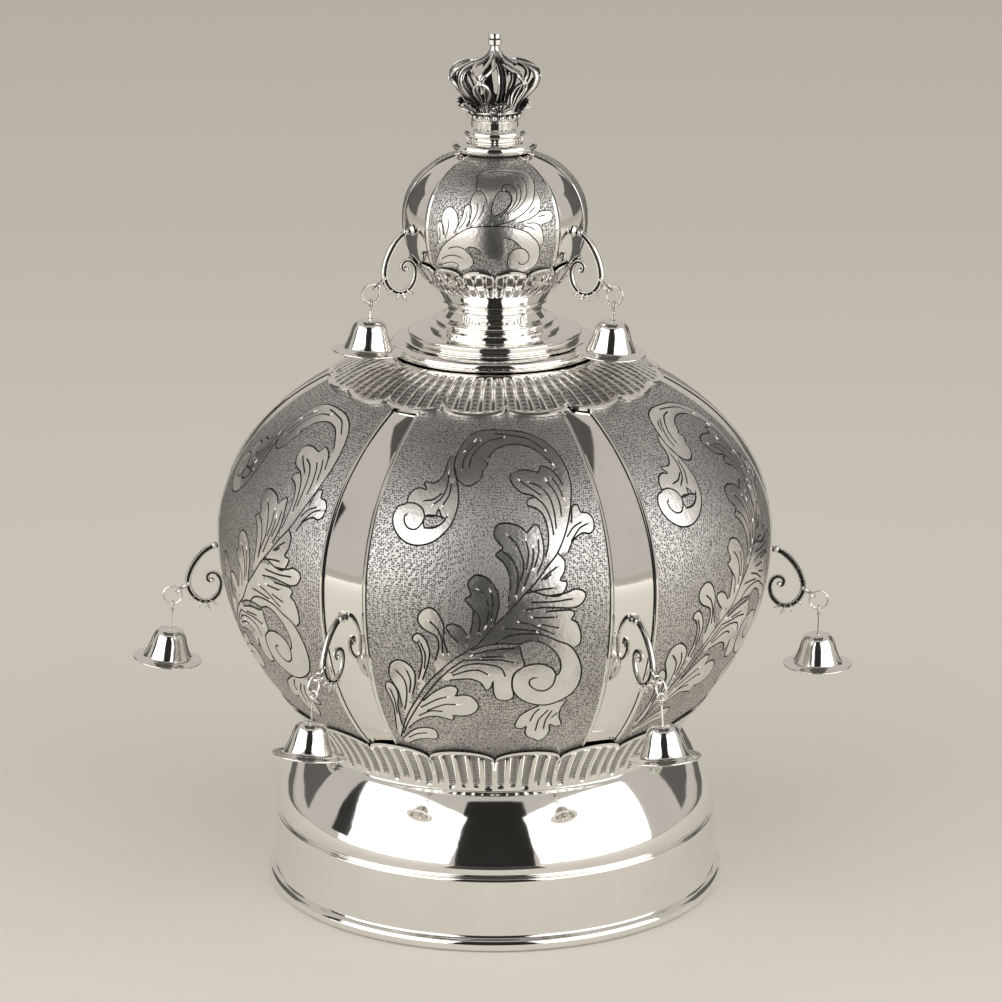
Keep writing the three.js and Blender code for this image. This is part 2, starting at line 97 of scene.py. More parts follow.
LARGE_STEM = (
    (-49, -69), (-44.7, -60), (-40, -51), (-34.6, -42.6), (-30, -35.3), (-24.6, -29),
    (-18, -22.5), (-12, -18), (-6.4, -14), (0, -6), (5.5, -0.6), (11, 5.7), (16.4, 11.2),
    (22, 18), (26.4, 23), (30, 29.4), (32.8, 35.8), (35.6, 44), (37.4, 51.3),
)
LARGE_LEAVES = (
    # The crook that arches over to the left.
    (((37.4, 51.3), (37.2, 58.6), (35, 66), (30.5, 72.3), (23.7, 76.8), (14.6, 79.6), (0, 80.7),
      (-9, 79.9), (-15.5, 76.8), (-19, 71.4), (-20.8, 66), (-21, 61.3), (-19, 55.9), (-15.5, 52.7),
      (-11.9, 52.1), (-8.2, 54.1), (-6.2, 57.2), (-5.9, 59.5), (-3.6, 62.3), (-5.2, 64.6),
      (-3.2, 65.9), (0, 69.6), (5.5, 71.8), (11, 72.5), (17.3, 71.6), (22, 69.6), (26.4, 66),
      (30.3, 61.8)), ((33.3, 51.3), (32.8, 40))),
    # Leaves on the left of the stem, from the top down.
    (((33.3, 51.3), (31.4, 56), (28.3, 59.5), (24.2, 61), (22.3, 58.2), (20, 58.6), (14.6, 59.5),
      (10, 58.8), (7.7, 57), (8.2, 54), (10, 51.3), (12.8, 49), (16, 48), (19, 47), (15.5, 45.9),
      (15, 43.5), (19, 41.8), (21.9, 38.6), (23.2, 33), (22.8, 26.7), (21.4, 22)),
     ((22, 18), (26.4, 23), (30, 29.4), (32.8, 35.8), (35, 44))),
    (((17.3, 15), (20, 20.3), (20.8, 25.8), (20, 31.3), (19, 34.7), (17.3, 34.9), (15, 33),
      (14, 31.7), (11, 34.5), (5.5, 36), (1.4, 35.4), (0, 33), (0, 30.4), (1.8, 28), (3.5, 25.6),
      (0.5, 23.2), (3.6, 20), (5.5, 16.7), (6.4, 11.2), (5.6, 4)),
     ((5.5, -0.6), (11, 5.7), (16.4, 11.2))),
    (((0, -5.2), (1.4, 0.3), (1.8, 4.8), (0.5, 9.4), (-2.7, 13.5), (-6.8, 15), (-9, 14),
      (-10.9, 11.2), (-9.6, 6.7), (-11.9, 4.8), (-9, 1.2), (-8.7, -3.4), (-10, -9.8)),
     ((-12, -18), (-6.4, -14))),
    (((-10.9, -10.7), (-13.7, -7), (-17.3, -5.7), (-19.6, -7), (-17.8, -10.7), (-15.2, -13.4)),
     ((-15, -20), (-12, -18))),
    (((-19.1, -18.9), (-20.9, -12.5), (-20.5, -8), (-21.4, -4.3), (-23.7, -0.6), (-26.9, 0.7),
      (-30.5, -1.5), (-31.4, -5.2), (-29.2, -8.4), (-25.5, -10.4), (-23.7, -11.6), (-23, -16),
      (-24.6, -22.5)), ((-24.6, -29), (-18, -22.5))),
    (((-31, -32.5), (-28.3, -25.3), (-26.9, -18.9), (-28.3, -13.4), (-31, -10.7), (-33.3, -11.6),
      (-33.9, -13.9), (-31.9, -15.2), (-30.5, -18.9), (-30.5, -24.3), (-32.6, -32)),
     ((-34, -41), (-30, -35.3))),
    (((-36.5, -40.7), (-34.5, -34.4), (-34.2, -28.9), (-36.5, -25.3), (-39.7, -23.7),
      (-42.8, -24.3), (-45, -26.6), (-46, -31.6), (-44.7, -35.3), (-42.8, -40), (-42.6, -48)),
     ((-43, -56), (-40, -51))),
    (((-45.6, -60), (-44.7, -48), (-43.3, -41.7), (-44.2, -37), (-46.9, -35), (-48.8, -38),
      (-47.2, -45.3), (-47.4, -52.6), (-49.7, -64.4)), ((-49, -69), (-46, -63))),
    # The scroll and leaf at the upper left.
    (((-20.2, 59.5), (-18.2, 53), (-16.9, 47.7), (-16.9, 42.2), (-18.7, 35.8), (-21.9, 31.3),
      (-26.4, 27.6), (-31.9, 25.8), (-37.4, 26.3), (-41.9, 29), (-45, 33), (-45.9, 37.6),
      (-44.2, 41.3), (-41, 42.7), (-40.7, 46), (-38.7, 49), (-35.6, 50), (-32.6, 49.4),
      (-34.5, 52.7), (-29.2, 52.7), (-26.4, 55.4), (-25, 59.5), (-24.8, 63.2), (-23.2, 66.4)),
     ((-20.8, 66),)),
    # Fans on the right of the stem.
    (((31, 23), (33.7, 27.6), (38.3, 30.4), (41.5, 29.9), (43.8, 31.7), (44.2, 35.8),
      (41.9, 38.6), (39.2, 39), (38.3, 42.2), (35.6, 41.8), (34.2, 34.9)),
     ((32.8, 35.8), (30, 29.4), (26.4, 23))),
    (((26.8, 22.8), (28.8, 20.6), (29.4, 18.5), (28.7, 15), (26.9, 12), (29.6, 11.2),
      (29.2, 8.5), (26.4, 5.7), (21, 6.2), (14, 8.6)), ((16.4, 11.2), (22, 18))),
    (((22.4, 6), (29.2, 6.7), (32.8, 8), (36.5, 7), (37.6, 4.8), (35.6, 1.6), (31.9, 0.3),
      (26.4, 0.7), (20, 1.2), (12.4, 0.4)), ((5.5, -0.6), (11, 5.7))),
    (((21, -0.6), (31, -0.6), (32.8, -2.5), (31.4, -4.7), (33.7, -6), (35.6, -10.7),
      (35.6, -15.2), (33.7, -17)),
     ((31, -16), (25.5, -13.4), (20, -10.7), (12.8, -9.8), (5.5, -10.7), (0, -14.3), (-6.4, -14),
      (0, -6), (5.5, -0.6))),
    # The strap to the lower scroll.
    (((0, -14.3), (5.5, -10.7), (12.8, -9.8), (20, -10.7), (25.5, -13.4), (31, -16), (34.6, -20.7),
      (36.9, -27), (36.9, -33.5), (34.6, -38.9), (30, -42.6), (24.6, -44.7), (20, -44.8),
      (14.6, -43.2), (10, -39.8), (7.7, -35.3), (7.7, -29.8), (10, -26.2), (14.6, -23.9),
      (20, -23.9), (24.2, -26.2), (26.4, -29.4), (27.8, -27), (27.3, -22.5), (24.6, -18),
      (20, -14.3), (14.6, -12.9), (10, -14.3), (3.6, -13.9), (-3.6, -14.8), (-9, -17)),
     ((-12, -18), (-6.4, -14))),
    # Leaves under the stem.
    (((-9, -18.9), (0, -16.6), (8.2, -16), (10, -15.2), (11.4, -20.2), (12.3, -24.3), (8.2, -28),
      (7.3, -33.5), (8.2, -39.8), (4.6, -41.8), (0.9, -40.7), (-0.5, -37), (-0.7, -31.6),
      (-1.4, -34.4), (-3.6, -36.2), (-5.9, -32.5), (-10, -30.7), (-14.6, -30.9), (-19, -31.6)),
     ((-24, -31), (-18, -22.5), (-12, -18))),
    (((-31.9, -43.5), (-27.3, -38.9), (-21.9, -35.3), (-18.2, -34.4), (-16, -35.7),
      (-16.4, -38.5), (-17.3, -39.8), (-13.7, -38.9), (-10, -39.8), (-7.3, -43.5), (-7.7, -47),
      (-10.9, -50), (-15.5, -51), (-19, -50.8), (-18.7, -52.6), (-19.6, -53.8), (-22.3, -53),
      (-27.3, -52), (-32.8, -53.5), (-38.3, -57.2), (-43, -62)),
     ((-44.7, -60), (-40, -51), (-34.6, -42.6))),
    (((-48.3, -69.9), (-44.7, -66.3), (-39.2, -61.7), (-33.7, -59.9), (-29.2, -60.8),
      (-28.3, -64.4), (-29.6, -67.6), (-35.6, -68), (-41, -69.9), (-46.5, -73.6)), ()),
    (((20, -45), (14.6, -48), (10.9, -51.7), (9.6, -57.6), (13.2, -58.8), (15, -57.2),
      (14.6, -60.8), (16, -64.4), (19, -66.3), (22.3, -68), (25, -66.3), (26.6, -61.7),
      (26, -57), (28.7, -58.5), (31.9, -57.6), (30, -52.6), (30, -48), (31.9, -43.5)),
     ((26, -44.4),)),
)
LARGE_HOLES = (
    ((-31, 38), (-26.4, 38.4), (-22, 37.4), (-23.6, 35), (-27, 33.2), (-31, 33.6)),
)
LARGE_VEINS = (
    LARGE_STEM,
    ((-46.8, -66), (-40.2, -55), (-32.6, -43.4), (-25.8, -34.2), (-19.4, -27), (-12.5, -21.4)),
    ((-41, 43), (-36.5, 43), (-32.8, 40.8), (-31.4, 37.6), (-32.4, 34.5), (-34.6, 32.2),
     (-37.8, 32.4), (-40, 34.5), (-40.6, 37.2), (-39.5, 38.3)),
    ((-21, 38.6), (-23.2, 35.4), (-26.4, 33.5), (-31, 33)),
    ((-31, 38), (-26.4, 38.4), (-25.5, 41.3), (-23.2, 37.2)),
    ((-32.4, 44.5), (-28.3, 45.4), (-25, 48)),
    ((-23.7, 43), (-21.4, 47.7), (-21, 53)),
    ((-28, 43.2), (-24.6, 46.4), (-22.9, 51.4), (-23, 57)),
    ((-13.2, 60.9), (-12.3, 66), (-10, 69.6), (-6.4, 72.7), (-1.8, 75), (5.5, 76)),
    ((-16, 69), (-14.6, 71.4), (-11.9, 73.7)),
    ((0, 78.5), (9, 77.5), (20, 75), (28, 69)),
    ((-16.6, 60), (-16.4, 64.6), (-13.4, 70), (-8.6, 74.4)),
    ((16.9, 53.6), (21.9, 51.3), (25.5, 46.8), (26.9, 40.4), (26.9, 33)),
    ((25.5, 53.6), (28.3, 49.5), (30, 44), (30, 38.6)),
    ((19, 46.8), (22.8, 43), (25, 36.7), (25.5, 30.4)),
    ((12.4, 54.4), (17.6, 50.6), (21.6, 47.6)),
    ((28.6, 55), (31, 50.6), (32.2, 46)),
    ((5.9, 30.8), (9, 27.6), (11.4, 22.2), (11.9, 16.7), (10, 11.2), (8.7, 6.7)),
    ((3.6, 24.2), (6.4, 22.2), (8.7, 18.5), (9.6, 14), (9, 8.5)),
    ((16.2, 25.6), (16, 21), (14, 15), (12, 10)),
    ((18.6, 29), (18.4, 23.4), (16.4, 17.6)),
    ((13.4, 28.6), (14.2, 23), (13, 17)),
    ((-6.2, 9), (-3.4, 5), (-2.4, 0), (-3.4, -6)),
    ((-1.4, 8), (-0.6, 3), (-1.4, -3)),
    ((-9, 1.2), (-6, -3), (-6.4, -9)),
    ((-26.6, -5), (-23.4, -8), (-21.6, -13), (-21.4, -19)),
    ((-30.6, -15), (-28.9, -20), (-29.6, -26.4)),
    ((-42.4, -28.9), (-39.6, -32.4), (-38.7, -37), (-39.7, -43.5), (-41.9, -50)),
    ((-37.4, -28.6), (-36.4, -33.4), (-37.8, -40)),
    ((-46.6, -39), (-45.6, -45), (-46.2, -53)),
    ((38.7, 34.9), (34.6, 33), (31.4, 29.4)),
    ((41.4, 34), (37.4, 32.4), (33, 27.6)),
    ((23.2, 14.6), (20.4, 12.6)),
    ((25.8, 17.4), (22.4, 15.2), (19, 12.4)),
    ((24, 9), (18.6, 8.6), (13.4, 7.4)),
    ((31.9, 4.1), (23.7, 3.4), (15, 3.6)),
    ((15.5, -2.9), (24.6, -3.2)),
    ((19, -6), (26.4, -8)),
    ((10, -4.6), (16, -6.4), (24, -10.4)),
    ((4, -7.4), (10, -7.8), (17, -8.8)),
    ((26, -29.8), (25, -34.4), (21.9, -37), (18.2, -36.6), (15, -33.9), (15, -31.2), (16.9, -30.3)),
    ((-5.5, -20.2), (3.6, -19.6)),
    ((4.6, -29.4), (2.7, -25.3), (-1.8, -23.6), (-7.3, -23.2), (-12.8, -24.3), (-18.2, -28)),
    ((-2.6, -28.4), (-6.4, -26.4), (-10.9, -26.6), (-17.3, -28.9)),
    ((8.4, -22.6), (2, -21.4), (-6, -21.4), (-12, -21.6)),
    ((-17.3, -44.4), (-22.8, -44.9), (-31, -49)),
    ((-23.7, -48.8), (-29.2, -49), (-35.6, -52.6)),
    ((-21, -40.4), (-26, -42.4), (-34, -47.6)),
    ((-33.6, -63.6), (-39, -65), (-45, -68.8)),
    ((16.4, -54.4), (17.8, -49.9), (20, -47)),
    ((19.6, -60.8), (20.5, -53.5), (24.2, -48)),
    ((26.4, -52.6), (28.7, -50)),
    ((23.4, -60), (23.8, -54), (26, -48.6)),
)

SMALL_STEM = (
    (-29.5, -13.8), (-26.5, -9.9), (-23.5, -5.4), (-20.1, -2.2), (-16, 0.8), (-12.4, 3),
    (-8.8, 4.2), (-4.7, 4.6), (0, 4.9),
)
SMALL_LEAVES = (
    (((0, 5), (5, 6.2), (8, 7.4), (11.2, 9), (14.4, 11.2), (17.1, 13.7), (19.4, 17.4), (21, 21),
      (21.7, 24.2), (21.5, 27.4), (19.9, 29.6), (17.1, 30.9), (13.5, 31.6), (8, 31.9), (0, 31.8),
      (-6, 30.8), (-9.8, 28.6), (-9.9, 25), (-9.2, 20.8)), ((-5, 19.2), (-3, 15), (-3, 8))),
    (((10.5, 6.2), (14.4, 7.1), (17.6, 8.5), (19.9, 10.1), (21, 11.9), (21.7, 15.1), (21.5, 18.3)),
     ((19.4, 17.4), (17.1, 13.7), (14.4, 11.2), (8, 7.4))),
    (((20.1, 9.9), (22.1, 10.1), (24.9, 9.9), (26.6, 8.4), (26, 6.5), (24.4, 5.3), (21, 4.6)),
     ((17.1, 5.5), (12, 5.8), (17.6, 8.5))),
    (((14.6, 5.5), (17.1, 5.5), (19, 4.6), (20.3, 2.8), (21, 0.1), (21.2, -2.2), (20.9, -4)),
     ((18.5, -2.9), (16.2, -0.4), (14, 1.7), (11.2, 3))),
    (((0, 4.9), (5, 4.6), (8, 4), (11.2, 3), (14, 1.7), (16.2, -0.4), (18.5, -2.9), (19.6, -5.8),
      (19.9, -9), (19.2, -12.2), (17.1, -14.9), (12, -16.5), (8, -15.5), (5.8, -12.6),
      (5.5, -9.9), (6.2, -7.6), (7.6, -5.6), (10.3, -4.7), (11.3, -4.9), (9.9, -3.1), (8, -1.5),
      (5.8, -0.4), (3.5, 0.1)), ((-3, 2),)),
    (((-5.1, -7.2), (-7, -5.1), (-10.1, -4.2), (-12.4, -5.6), (-10.6, -7.6), (-9.5, -9.7),
      (-9.5, -12.2), (-11.3, -14)),
     ((-16, -15.4), (-26, -16), (-29.5, -13.8), (-26.5, -9.9), (-23.5, -5.4), (-20.1, -2.2),
      (-16, 0.8), (-12.4, 3), (-8.8, 4.2), (-4.7, 4.6), (0, 4.9), (4, 3), (5, -6), (3, -11))),
    (((-25.2, -3.6), (-25.8, 2.8), (-25.4, 4.6), (-24.5, 5.3), (-23.1, 4.6), (-22.3, 2.8),
      (-22, 0)), ((-21.5, -3),)),
    (((-22.4, 0), (-23.5, 6.5), (-23.3, 9.2), (-22, 11.2), (-20.1, 11.9), (-18.3, 11.2),
      (-16.7, 9.6), (-15.9, 7.4), (-15.8, 4.6), (-17, 1.9)), ((-17.6, -0.4), (-21, -2.6))),
    (((-15.8, 4), (-13.9, 8.4), (-13.5, 11.5), (-12.9, 12.8), (-11.5, 13.6), (-10.4, 12.6),
      (-10.1, 10.1), (-10.6, 7.4), (-12, 4.4)), ((-12.4, 3), (-16, 0.8))),
    (((-10.6, 6), (-10.8, 11), (-11, 14.6), (-10.6, 17.4), (-9.2, 19.6), (-7.4, 19.9),
      (-5.6, 19), (-4.5, 17.4), (-3.5, 15.1)), ((-2, 8), (-1, 5), (-8.8, 4.2))),
)
SMALL_HOLES = (
    ((1.4, 19), (3.6, 19.8), (6.4, 19), (7.6, 16.8), (7.2, 14.6), (4.6, 11.6), (1.2, 9.4),
     (-1, 9.6), (-1, 14)),
)
SMALL_VEINS = (
    SMALL_STEM,
    ((5, 20.1), (6.7, 19.6), (8, 17.4), (7.8, 15.1), (6.2, 12.4), (4, 10.1), (2.1, 8.3)),
    ((3.5, 20.5), (4.4, 22.4), (5.8, 23), (8, 22.8), (9.6, 21.5), (10.5, 19.6), (10.5, 17.4),
     (9.4, 14.6), (7.1, 11.9), (4.4, 9.6)),
    ((11.9, 23.3), (12.8, 21), (12.6, 17.8), (11.2, 14.6), (8.5, 11.9), (5.3, 9.6)),
    ((16, 25.5), (16.5, 22.4), (15.8, 18.7), (14, 15.5), (11.2, 12.8), (8, 10.5)),
    ((18, 11.9), (16.2, 10.5), (15.2, 9.7)),
    ((19.9, 8), (22.8, 8.3)),
    ((12.6, 4.4), (15.3, 3.8), (17.1, 2.6)),
    ((11.3, -4.9), (13, -5.6), (14.9, -8.1), (14.9, -10.4), (13.5, -12), (11.7, -12.2), (10.3, -11)),
    ((-24.5, 2.8), (-24.1, 0.1), (-24.5, -2.6)),
    ((-20.6, 6.9), (-20, 4.2), (-20.6, 1.5), (-21.7, -1.3)),
    ((-12.1, 11), (-12.2, 8.3), (-13.3, 5.5), (-15.1, 3.3)),
    ((-7.6, 14.4), (-7.4, 11.5), (-8.5, 8.3), (-10.1, 5.3)),
    ((-5.1, 13.7), (-5.1, 11), (-7, 7.4)),
    ((-20.6, -5.8), (-18.3, -4.9), (-15.1, -4.5), (-12.4, -5.6)),
    ((-24.7, -11), (-21, -9), (-17.4, -8.5), (-14.2, -9.5)),
    ((-27.4, -14), (-25, -13.5), (-21, -12), (-18.3, -12), (-16.5, -13.1), (-18.3, -14.9)),
    ((-6, 29.6), (3, 30.2), (12, 29.4), (16.4, 28)),
)

# ---- Settings a user may change -----------------------------------------------------------


def length(name, description, default):
    """A size property; `default` is in millimetres."""
    return FloatProperty(
        name=name, description=description, default=default * MM, min=0.0, precision=5,
        subtype="DISTANCE", unit="LENGTH",
    )


def colour(name, description, default):
    return FloatVectorProperty(
        name=name, description=description, default=default, size=3, min=0.0, max=1.0,
        subtype="COLOR",
    )


def share(name, description, default):
    return FloatProperty(
        name=name, description=description, default=default, min=0.0, max=1.0, subtype="FACTOR",
    )


class ChasingSettings(bpy.types.PropertyGroup):
    """Relief and engraving of the two globes."""

    leaf_height: length("Leaf height", "How far the leaves stand above the ground", 0.12)
    line_depth: length("Line depth", "Depth of an engraved line", 0.26)
    line_width: length("Line width", "Width of an engraved line on the large globe", 0.78)
    fine_line_width: length("Fine line width", "Width of an engraved line on the small globe", 0.45)
    stipple_pitch: length("Stipple pitch", "Distance between punch marks on the ground", 0.85)
    bead: length("Border bead", "Height of the bead along each rib", 0.45)


class LeafEdgeSettings(bpy.types.PropertyGroup):
    """Fluted leaf borders of the base, the skirt and the cup."""

    base_scallops: IntProperty(
        name="Base scallops", description="Scallops round the base collar", default=20, min=6)
    base_flutes: IntProperty(
        name="Base flutes", description="Flutes in each base scallop", default=5, min=1)
    skirt_scallops: IntProperty(
        name="Skirt scallops", description="Scallops round the skirt", default=16, min=6)
    skirt_flutes: IntProperty(
        name="Skirt flutes", description="Flutes in each skirt scallop", default=5, min=1)
    cup_scallops: IntProperty(
        name="Cup scallops", description="Scallops round the cup", default=16, min=6)
    cup_flutes: IntProperty(
        name="Cup flutes", description="Flutes in each cup scallop", default=3, min=1)
    flute_depth: length("Flute depth", "Depth of a flute in the base collar", 0.95)
    edge_bead: length("Edge bead", "Bulge of the raised edge line", 0.55)


class CastingSettings(bpy.types.PropertyGroup):
    """Cast crown, arms and bells."""

    beads: IntProperty(
        name="Beads", description="Beads round the foot of the crown", default=22, min=8)
    shell_ribs: IntProperty(
        name="Shell ribs", description="Ribs in each shell", default=7, min=3)
    bell_wall: length("Bell wall", "Wall thickness of a bell", 0.7)
    clapper: length("Clapper radius", "Radius of the clapper ball", 1.7)


class SilverSettings(bpy.types.PropertyGroup):
    """Colours and gloss of the silver."""

    silver: colour("Silver", "Colour of clean silver", (0.93, 0.915, 0.89))
    shade: colour("Shade", "Colour of lightly toned silver", (0.74, 0.73, 0.71))
    oxide: colour("Oxide", "Colour of the dark patina in lines and hollows", (0.05, 0.048, 0.046))
    polish: share("Polish roughness", "Roughness of polished silver", 0.05)
    leaf: share("Leaf roughness", "Roughness of the chased leaves", 0.22)
    ground: share("Ground roughness", "Roughness of the stippled ground", 0.4)


class StageSettings(bpy.types.PropertyGroup):
    """Floor and studio."""

    floor: colour("Floor", "Colour of the floor", (0.845, 0.82, 0.77))
    room: colour("Room", "Colour of the room", (0.66, 0.625, 0.575))
    room_strength: FloatProperty(
        name="Room strength", description="Brightness of the room", default=0.8, min=0.0)
    soft_box_power: FloatProperty(
        name="Soft box power", description="Power of each soft box", default=12.0, min=0.0,
        subtype="POWER", unit="POWER")


# ---- Shader expressions -------------------------------------------------------------------


class Signal:
    """A shader socket whose Python operators add Math nodes."""

    def __init__(self, finish, socket):
        self.finish = finish
        self.socket = socket

    def math(self, operation, first, second):
        node = self.finish.node("ShaderNodeMath", {"operation": operation}, {0: first, 1: second})
        return Signal(self.finish, node.outputs[0])

    def __add__(self, other):
        return self.math("ADD", self, other)

    def __radd__(self, other):
        return self.math("ADD", other, self)

    def __sub__(self, other):
        return self.math("SUBTRACT", self, other)

    def __rsub__(self, other):
        return self.math("SUBTRACT", other, self)

    def __mul__(self, other):
        return self.math("MULTIPLY", self, other)

    def __rmul__(self, other):
        return self.math("MULTIPLY", other, self)


class Finish:
    """One silver finish and the nodes that make it."""

    def __init__(self, name):
        self.material = bpy.data.materials.new(name)
        self.material.use_nodes = True
        self.tree = self.material.node_tree
        self.tree.nodes.clear()
        self.place = Signal(self, self.node("ShaderNodeTexCoord").outputs["Object"])

    def node(self, kind, settings=None, values=None):
        made = self.tree.nodes.new(kind)
        for key, setting in (settings or {}).items():
            setattr(made, key, setting)
        for key, value in (values or {}).items():
            if isinstance(value, Signal):
                self.tree.links.new(value.socket, made.inputs[key])
            else:
                made.inputs[key].default_value = value
        return made

    def noise(self, size_mm, detail=3.0):
        """Cloudy values of about 0 to 1 whose patches are `size_mm` across."""
        made = self.node("ShaderNodeTexNoise", None, {
            "Vector": self.place, "Scale": 1.0 / (size_mm * MM), "Detail": detail,
        })
        return Signal(self, made.outputs["Fac"])

    def cells(self, size_mm):
        """Distance to the nearest of many scattered points about `size_mm` apart."""
        made = self.node("ShaderNodeTexVoronoi", None, {
            "Vector": self.place, "Scale": 1.0 / (size_mm * MM), "Randomness": 0.6,
        })
        return Signal(self, made.outputs["Distance"])

    def openness(self, reach_mm):
        """1 where the surface is open, 0 deep in a recess of about `reach_mm`; cast silver paints shade
        into its colour from this.
        """
        made = self.node("ShaderNodeAmbientOcclusion", {"samples": 8, "only_local": True}, {
            "Distance": reach_mm * MM,
        })
        return Signal(self, made.outputs["AO"])

    def levels(self, size_mm):
        """Level bands `size_mm` apart, for the chatter marks of a chasing tool."""
        made = self.node("ShaderNodeTexWave", {"bands_direction": "Z"}, {
            "Vector": self.place, "Scale": 0.314 / (size_mm * MM), "Distortion": 1.5,
            "Detail": 1.0, "Detail Scale": 2.0,
        })
        return Signal(self, made.outputs["Fac"])

    def stretch(self, value, low, high):
        """Spreads low..high of a value over 0..1 and clips the rest."""
        made = self.node("ShaderNodeMapRange", None, {"Value": value, "From Min": low, "From Max": high})
        return Signal(self, made.outputs["Result"])

    def blend(self, factor, first, second):
        """A colour between two colours."""
        made = self.node("ShaderNodeMix", {"data_type": "RGBA"}, {
            "Factor": factor, 6: (*first, 1.0), 7: (*second, 1.0),
        })
        return Signal(self, made.outputs[2])

    def bump(self, height, depth_mm):
        made = self.node("ShaderNodeBump", None, {
            "Height": height, "Distance": depth_mm * MM, "Strength": 1.0,
        })
        return Signal(self, made.outputs["Normal"])

    def close(self, base_colour, roughness, normal=None, metallic=1.0, specular=0.5):
        values = {
            "Base Color": base_colour, "Roughness": roughness, "Metallic": metallic,
            "Specular IOR Level": specular,
        }
        if normal is not None:
            values["Normal"] = normal
        shader = self.node("ShaderNodeBsdfPrincipled", None, values)
        output = self.node("ShaderNodeOutputMaterial")
        self.tree.links.new(shader.outputs["BSDF"], output.inputs["Surface"])
        return self.material


def polished_silver(silver):
    """Mirror polish with faint hazing and hairline ripples."""
    finish = Finish("polished silver")
    haze = finish.stretch(finish.noise(22.0), 0.35, 0.75)
    tone = finish.blend(haze * 0.25, silver.silver, silver.shade)
    ripple = finish.bump(finish.noise(9.0, 2.0), 0.03)
    return finish.close(tone, silver.polish + haze * 0.04, ripple)


def leaf_silver(silver):
    """Burnished leaf with fine tool strokes."""
    finish = Finish("leaf silver")
    haze = finish.stretch(finish.noise(7.0), 0.3, 0.8)
    tone = finish.blend(0.2 + haze * 0.6, silver.silver, silver.shade)
    strokes = finish.bump(finish.noise(1.6, 4.0), 0.09)
    return finish.close(tone, silver.leaf + haze * 0.08, strokes)


def stippled_silver(silver, pitch_mm):
    """Ground punched all over with small round marks that hold a little oxide."""
    finish = Finish("stippled silver")
    marks = finish.stretch(finish.cells(pitch_mm), 0.24, 0.56)
    haze = finish.stretch(finish.noise(14.0), 0.3, 0.75)
    soot = 1.0 - marks
    tone = finish.blend(0.1 + soot * 0.8 + haze * 0.1, silver.shade, silver.oxide)
    dents = finish.bump(marks, 0.08)
    return finish.close(tone, silver.ground + soot * 0.1, dents)


def oxidised_silver(silver):
    """Dark patina at the bottom of lines, slots and hollows."""
    finish = Finish("oxidised silver")
    worn = finish.stretch(finish.noise(3.0), 0.55, 0.8)
    tone = finish.blend(worn * 0.2, silver.oxide, silver.shade)
    return finish.close(tone, 0.5 - worn * 0.1, finish.bump(finish.noise(0.9), 0.03))


def chattered_silver(silver):
    """Slot floors with the level marks of the chasing tool."""
    finish = Finish("chattered silver")
    marks = finish.levels(1.1)
    tone = finish.blend(0.3 + marks * 0.5, silver.oxide, silver.shade)
    return finish.close(tone, 0.3 + marks * 0.1, finish.bump(marks, 0.12))


def cast_silver(silver):
    """Cast silver, bright on its ridges and dark in its hollows, with oxide there and shade painted into
    the colour where the surface is enclosed.
    """
    finish = Finish("cast silver")
    trace = finish.stretch(finish.noise(2.6), 0.55, 0.8)
    # Painted shade and oxide: ambient occlusion darkens the colour toward oxide in enclosed places.
    hollow_shade_and_oxide = finish.stretch(1.0 - finish.openness(5.0), 0.1, 0.42)
    tone = finish.blend(hollow_shade_and_oxide * 0.9 + trace * 0.1, silver.silver, silver.oxide)
    return finish.close(tone, 0.17 + hollow_shade_and_oxide * 0.3 + trace * 0.08, finish.bump(finish.noise(1.2), 0.05))


def bell_silver(silver):
    """Spun and polished bell with faint turning lines."""
    finish = Finish("bell silver")
    haze = finish.stretch(finish.noise(6.0), 0.4, 0.8)
    tone = finish.blend(haze * 0.3, silver.silver, silver.shade)
    return finish.close(tone, 0.07 + haze * 0.06, finish.bump(finish.noise(3.0, 2.0), 0.02))


def floor_paint(settings):
    finish = Finish("floor paint")
    haze = finish.noise(600.0)
    tone = finish.blend(haze * 0.15, settings.floor, [0.93 * part for part in settings.floor])
    return finish.close(tone, 0.75, metallic=0.0, specular=0.0)


def finish_named(name, maker, *settings):
    """The finish of this name, made once."""
    return bpy.data.materials.get(name) or maker(*settings)


def plain_finishes():
    silver = bpy.context.scene.crown_silver
    return [
        finish_named("polished silver", polished_silver, silver),
        finish_named("oxidised silver", oxidised_silver, silver),
        finish_named("chattered silver", chattered_silver, silver),
    ]


def chased_finishes():
    silver = bpy.context.scene.crown_silver
    pitch = bpy.context.scene.crown_chasing.stipple_pitch / MM
    return [
        finish_named("stippled silver", stippled_silver, silver, pitch),
        finish_named("leaf silver", leaf_silver, silver),
        finish_named("oxidised silver", oxidised_silver, silver),
        finish_named("polished silver", polished_silver, silver),
    ]


def cast_finishes():
    silver = bpy.context.scene.crown_silver
    return [
        finish_named("cast silver", cast_silver, silver),
        finish_named("oxidised silver", oxidised_silver, silver),
    ]


def bell_finishes():
    silver = bpy.context.scene.crown_silver
    return [finish_named("bell silver", bell_silver, silver)]


# ---- Mesh helpers, all in millimetres -----------------------------------------------------


